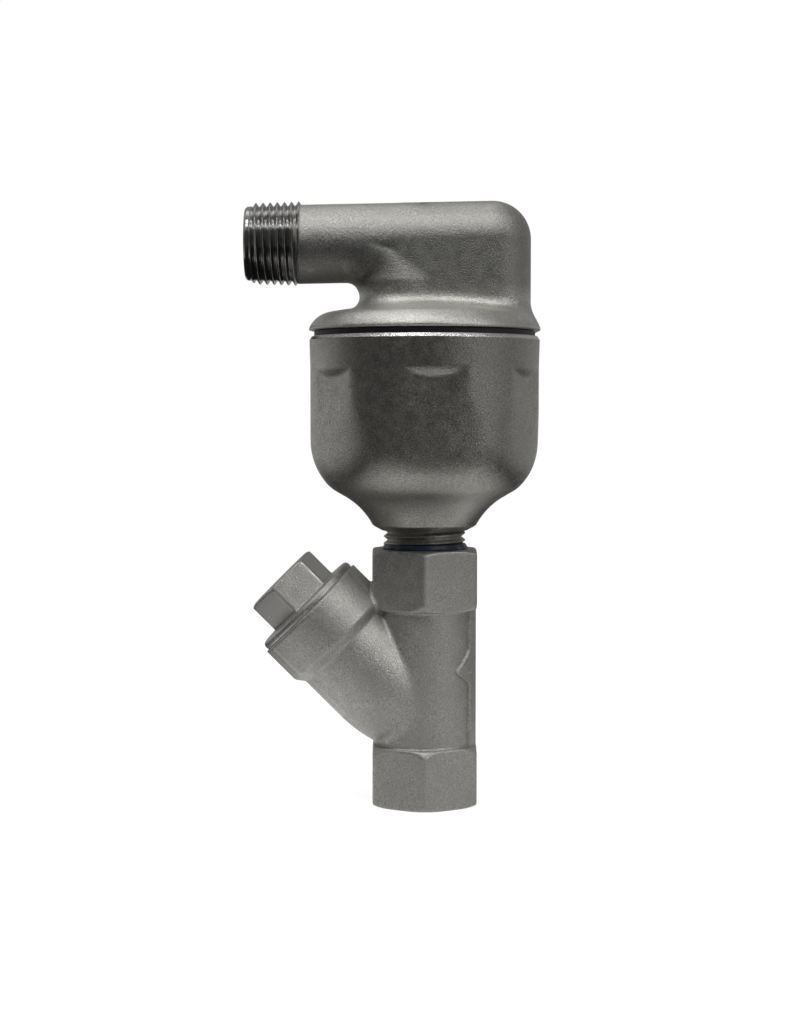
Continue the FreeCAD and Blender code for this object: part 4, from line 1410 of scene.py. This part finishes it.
def sealant_smear(r, z, angle):
    """Squeezes the sealant's edge out unevenly, and leaves its inner side as it is."""
    swell = sum(share * np.sin(count * angle + shift) for share, count, shift in SEALANT_WAVES)
    across = np.clip((r - NIPPLE_CORE) / (SEALANT_HIGH.x - NIPPLE_CORE), 0, 1)
    return r + (swell - SEALANT_INSET) * SEALANT_SWELL * across


class VALVE_OT_build_seals(Operator):
    """Makes the squeezed out sealant and finishes the gaskets"""
    bl_idname = "valve.build_seals"
    bl_label = "Build seals"

    def execute(self, context):
        settings = context.scene.valve_finish
        rubber = finish(
            "black_rubber", soft_seal, colour=settings.rubber_colour, roughness=0.5, spread=0.3,
        )
        sheet = finish("white_sheet", soft_seal, colour=SHEET_COLOUR, roughness=0.42, spread=0.04)
        dried = finish(
            "dried_sealant", soft_seal, colour=settings.sealant_colour, roughness=0.38, spread=0.35,
        )
        for name, material in (
            ("cover_gasket", rubber), ("valve_disc", rubber), ("plug_gasket", sheet), ("seat_washer", sheet),
        ):
            dress_node(name, material)
        ring = sleeve("sealant_ring", sealant_outline(), SEALANT_COLUMNS, sealant_smear)
        placed(dress(ring, dried), "valve_body", "thread_sealant")
        return {"FINISHED"}


class VALVE_OT_finish_mechanism(Operator):
    """Gives the screen, the lever work and the float their finishes"""
    bl_idname = "valve.finish_mechanism"
    bl_label = "Finish mechanism"

    def execute(self, context):
        machined = context.scene.valve_finish.machined_colour
        turned = finish("turned_steel", cut_steel, colour=machined, axis="Z", roughness=0.24)
        cross = finish("turned_pins", cut_steel, colour=machined, axis="Y")
        rolled = finish("rolled_sheet", rolled_steel, colour=ROLLED_COLOUR)
        spring = finish("spring_steel", cut_steel, colour=SPRING_COLOUR, axis="Z", roughness=0.3)
        spun = finish("spun_float", cut_steel, colour=SPUN_COLOUR, axis="Z", roughness=0.14)
        weld = finish("weld_bead", tinted_weld, colour=WELD_COLOUR)
        groups = {
            turned: ("seat_bushing", "bracket_screws", "valve_stem", "float_stud", "float_nut"),
            cross: ("pivot_pin", "valve_pin"),
            rolled: ("strainer_screen", "screen_end_ring", "lever_bracket", "float_lever"),
            spring: ("bracket_washers", "pivot_clip", "float_washer"),
            spun: ("float_upper_shell", "float_lower_shell"),
            weld: ("float_weld",),
        }
        for material, names in groups.items():
            for name in names:
                dress_node(name, material)
        return {"FINISHED"}


# The stage

FLOOR_SIZE = 4.0
FLOOR_DROP = 0.02 * MM
FLOOR_GREY = 0.86
FLOOR_GLOW = 1.40
FLOOR_GLOW_SHARE = 0.6
WORLD_FILL = 0.5
WORLD_WHITE = 1.0

# Wall of the tent: degrees round from the front towards +X, and how bright it is there
TENT_WALL = [
    (-180, 0.42), (-150, 0.50), (-128, 0.62), (-104, 0.62), (-96, 0.50), (-88, 0.10), (-70, 0.06), (0, 0.055),
    (25, 0.07), (42, 0.20), (52, 0.42), (72, 0.42), (84, 0.26), (104, 0.26), (118, 0.42), (180, 0.42),
]
# Apron of the tent on the floor: metres from its bright middle, and how bright it is there
TENT_APRON = [
    (0, 0.48), (0.05, 0.50), (0.065, 0.80), (0.098, 0.80), (0.125, 0.10), (0.16, 0.06), (0.30, 0.06),
    (0.40, 0.12),
]
APRON_CENTRE = (0.014, -0.04, 0)
APRON_SQUEEZE = 1.15
APRON_TOP = (0.5 * MM, 1 * MM)
TENT_HOLE = 1 * MM
TENT_DROP = 0.01 * MM
TENT_COLUMNS = 96
TENT_ROWS = 30
# Heights between which the wall dims, and by how much; shares of the height between which the roof starts
TENT_DIM = (0.12, 0.18)
TENT_DIM_SHARE = 0.4
TENT_ROOF = (0.80, 0.93)
TENT_ROOF_COLOUR = (0.12, 0.12, 0.12)
BLACK = (0, 0, 0)

# The flat black card below the outlet arm as (x, y), and the upright one to the arm's left as (y, z)
CARD_COLOUR = (0.01, 0.01, 0.01)
FLAT_CARD_Z = 0.125
FLAT_CARD = [
    (-0.085, -0.09), (0.020, -0.09), (0.020, -0.045), (-0.010, -0.036), (-0.034, -0.036), (-0.034, 0.03),
    (-0.085, 0.03),
]
UPRIGHT_CARD_X = -0.07
UPRIGHT_CARD = [(-0.13, 0.128), (-0.01, 0.128), (-0.01, 0.160), (-0.13, 0.160)]

# Lamps: the setting with the power, where each stands and aims, its size, and its spread in degrees
LAMPS = {
    "key_soft_box": ("key_power", (-0.12, -0.23, 0.57), (0, 0, 0.12), (0.50, 0.16), 180),
    "dome_soft_box": ("dome_power", (-0.05, 0.11, 0.512), (-0.004, -0.024, 0.125), (0.30, 0.12), 180),
    "strip_light": ("strip_power", (-0.039, -0.118, 0.305), (-0.039, 0, OUTLET_Z), (0.50, 0.02), 180),
    "side_soft_box": ("side_power", (0.211, -0.218, 0.23), (-0.02, -0.01, 0.035), (0.10, 0.10), 20),
}
SENSOR_HEIGHT = 36.0
NEAREST_SEEN = 10 * MM


def bare_material(name):
    material = bpy.data.materials.new(name)
    material.use_nodes = True
    material.node_tree.nodes.clear()
    return material, material.node_tree


def surfaced(tree, shader, kind="ShaderNodeOutputMaterial"):
    tree.links.new(shader, add(tree, kind).inputs["Surface"])


def maths(tree, operation, *values):
    node = add(tree, "ShaderNodeMath", operation=operation)
    for socket, value in zip(node.inputs, values):
        feed(tree, socket, value)
    return node.outputs[0]


def mixed_shaders(tree, factor, first, second):
    mix = add(tree, "ShaderNodeMixShader")
    for socket, value in zip(mix.inputs, (factor, first, second)):
        tree.links.new(value, socket)
    return mix.outputs[0]


def seen_directly(tree):
    """One where a camera, glossy or transmission ray looks, and nought elsewhere."""
    path = add(tree, "ShaderNodeLightPath")
    either = maths(tree, "MAXIMUM", path.outputs["Is Camera Ray"], path.outputs["Is Glossy Ray"])
    return maths(tree, "MAXIMUM", either, path.outputs["Is Transmission Ray"])


def white_world(scene):
    """A world that is white to look at and lights the object less."""
    world = bpy.data.worlds.new("white_world")
    world.use_nodes = True
    tree = world.node_tree
    tree.nodes.clear()
    fill, white = [
        add(tree, "ShaderNodeBackground", Color=(1, 1, 1, 1), Strength=strength).outputs[0]
        for strength in (WORLD_FILL, WORLD_WHITE)
    ]
    surfaced(tree, mixed_shaders(tree, seen_directly(tree), fill, white), "ShaderNodeOutputWorld")
    scene.world = world


def pale_floor():
    """A wide pale floor that keeps the shadow and shows white."""
    size = FLOOR_SIZE
    corners = [(-size, -size, 0), (size, -size, 0), (size, size, 0), (-size, size, 0)]
    floor = finished("floor", mesh_of("floor", corners, [(0, 1, 2, 3)]), False)
    floor.location.z = -FLOOR_DROP
    material, tree = bare_material("pale_floor")
    grey = (FLOOR_GREY, FLOOR_GREY, FLOOR_GREY, 1)
    diffuse = add(tree, "ShaderNodeBsdfDiffuse", Color=grey).outputs[0]
    glow = add(tree, "ShaderNodeEmission", Color=(1, 1, 1, 1), Strength=FLOOR_GLOW).outputs[0]
    factor = maths(tree, "MULTIPLY", seen_directly(tree), FLOOR_GLOW_SHARE)
    surfaced(tree, mixed_shaders(tree, factor, diffuse, glow))
    dress(floor, material)


def ramped(tree, value, stops, low, high):
    """A grey that follows a list of places and levels."""
    ramp = add(tree, "ShaderNodeValToRGB")
    elements = ramp.color_ramp.elements
    while len(elements) > 1:
        elements.remove(elements[-1])
    for i, (at, level) in enumerate(stops):
        spot = (at - low) / (high - low)
        element = elements[0] if i == 0 else elements.new(spot)
        element.position = spot
        element.color = (level, level, level, 1)
    tree.links.new(ranged(tree, value, 0, 1, low, high), ramp.inputs[0])
    return ramp.outputs["Color"]


def only_reflected(piece):
    """Keeps a stage piece from everything but reflections."""
    piece.visible_camera = False
    piece.visible_shadow = False
    piece.visible_diffuse = False


def tent_cloth(radius, height):
    """The tent's glowing cloth: a wall that changes round the object, a roof, and an apron on the floor."""
    material, tree = bare_material("tent_cloth")
    place = add(tree, "ShaderNodeTexCoord").outputs["Object"]
    split = add(tree, "ShaderNodeSeparateXYZ")
    tree.links.new(place, split.inputs[0])
    front = maths(tree, "MULTIPLY", split.outputs["Y"], -1)
    angle = maths(tree, "DEGREES", maths(tree, "ARCTAN2", split.outputs["X"], front))
    wall = ramped(tree, angle, TENT_WALL, -180, 180)
    up = split.outputs["Z"]
    roof = ranged(tree, up, 0, 1, height * TENT_ROOF[0], height * TENT_ROOF[1])
    wall = mixed(tree, ranged(tree, up, 0, TENT_DIM_SHARE, *TENT_DIM), wall, BLACK)
    wall = mixed(tree, roof, wall, TENT_ROOF_COLOUR)
    oval = add(tree, "ShaderNodeVectorMath", operation="MULTIPLY")
    tree.links.new(place, oval.inputs[0])
    oval.inputs[1].default_value = (APRON_SQUEEZE, 1, 1)
    reach = add(tree, "ShaderNodeVectorMath", operation="DISTANCE")
    tree.links.new(oval.outputs["Vector"], reach.inputs[0])
    reach.inputs[1].default_value = APRON_CENTRE
    apron = ramped(tree, reach.outputs["Value"], TENT_APRON, 0, radius)
    cloth = mixed(tree, ranged(tree, up, 1, 0, *APRON_TOP), wall, apron)
    glow = add(tree, "ShaderNodeEmission", Strength=1.0)
    tree.links.new(cloth, glow.inputs["Color"])
    surfaced(tree, glow.outputs[0])
    return material


def light_tent(settings):
    """A tent of pale and dark cloth round the object and on the floor, which only reflections see."""
    radius = settings.tent_radius
    height = settings.tent_height
    outline = [(TENT_HOLE, -TENT_DROP), (radius, -TENT_DROP)]
    for row in range(1, TENT_ROWS):
        turn = row * math.pi / (2 * TENT_ROWS)
        outline.append((radius * math.cos(turn), height * math.sin(turn)))
    outline.append((TENT_HOLE, height))
    tent = finished("light_tent", lathe("light_tent", outline, TENT_COLUMNS))
    only_reflected(dress(tent, tent_cloth(radius, height)))


def dark_flag():
    """Black cards below the outlet arm and to its left, which only reflections see."""
    corners = [(x, y, FLAT_CARD_Z) for x, y in FLAT_CARD]
    corners += [(UPRIGHT_CARD_X, y, z) for y, z in UPRIGHT_CARD]
    mesh = bpy.data.meshes.new("dark_flag")
    flat = len(FLAT_CARD)
    mesh.from_pydata(corners, [], [tuple(range(flat)), tuple(range(flat, len(corners)))])
    flag = finished("dark_flag", mesh, False)
    material, tree = bare_material("black_card")
    surfaced(tree, add(tree, "ShaderNodeEmission", Color=(*CARD_COLOUR, 1), Strength=1.0).outputs[0])
    only_reflected(dress(flag, material))


def soft_box(name, power, place, aim, size, spread):
    """A rectangular lamp that stands at a place and faces its aim."""
    light = bpy.data.lights.new(name, "AREA")
    light.spread = math.radians(spread)
    light.shape = "RECTANGLE"
    light.size, light.size_y = size
    light.energy = power
    lamp = bpy.data.objects.new(name, light)
    bpy.context.scene.collection.objects.link(lamp)
    lamp.location = place
    lamp.rotation_euler = (Vector(aim) - Vector(place)).to_track_quat("-Z", "Y").to_euler()


def front_camera(scene, settings):
    camera = bpy.data.objects.new("camera", bpy.data.cameras.new("camera"))
    scene.collection.objects.link(camera)
    camera.location = settings.camera_place
    camera.rotation_euler = (RIGHT_ANGLE - settings.camera_tilt, 0, 0)
    camera.data.sensor_fit = "VERTICAL"
    camera.data.sensor_height = SENSOR_HEIGHT
    camera.data.lens = settings.lens
    camera.data.clip_start = NEAREST_SEEN
    scene.camera = camera


class VALVE_OT_build_stage(Operator):
    """Makes the floor, the tent, the lamps, the world and the camera"""
    bl_idname = "valve.build_stage"
    bl_label = "Build stage"

    def execute(self, context):
        scene = context.scene
        settings = scene.valve_stage
        scene.view_settings.view_transform = "Standard"
        white_world(scene)
        pale_floor()
        light_tent(settings)
        dark_flag()
        for name, (power, *lamp) in LAMPS.items():
            soft_box(name, getattr(settings, power), *lamp)
        front_camera(scene, settings)
        return {"FINISHED"}


OPERATORS = (
    VALVE_OT_build_stage, VALVE_OT_build_cover, VALVE_OT_build_outlet_thread, VALVE_OT_build_bowl,
    VALVE_OT_build_strainer, VALVE_OT_build_plug, VALVE_OT_build_threads, VALVE_OT_build_seals,
    VALVE_OT_finish_mechanism,
)

SETTINGS = {
    "valve_casting": CastingSettings, "valve_thread": ThreadSettings, "valve_finish": FinishSettings,
    "valve_stage": StageSettings,
}


class VALVE_PT_panel(Panel):
    """Lists the valve's pieces and their settings"""
    bl_label = "Air Release Valve"
    bl_idname = "VALVE_PT_panel"
    bl_space_type = "VIEW_3D"
    bl_region_type = "UI"
    bl_category = "Valve"

    def draw(self, context):
        for operator in OPERATORS:
            self.layout.operator(operator.bl_idname)
        for name, group in SETTINGS.items():
            box = self.layout.box()
            settings = getattr(context.scene, name)
            for key in group.__annotations__:
                box.prop(settings, key)


def register():
    for group in (*SETTINGS.values(), *OPERATORS, VALVE_PT_panel):
        bpy.utils.register_class(group)
    for name, group in SETTINGS.items():
        setattr(bpy.types.Scene, name, PointerProperty(type=group))


def unregister():
    for name in SETTINGS:
        delattr(bpy.types.Scene, name)
    for group in (VALVE_PT_panel, *reversed(OPERATORS), *SETTINGS.values()):
        bpy.utils.unregister_class(group)


def main():
    register()
    for operator in OPERATORS:
        group, name = operator.bl_idname.split(".")
        getattr(getattr(bpy.ops, group), name)()


if __name__ == "__main__":
    main()
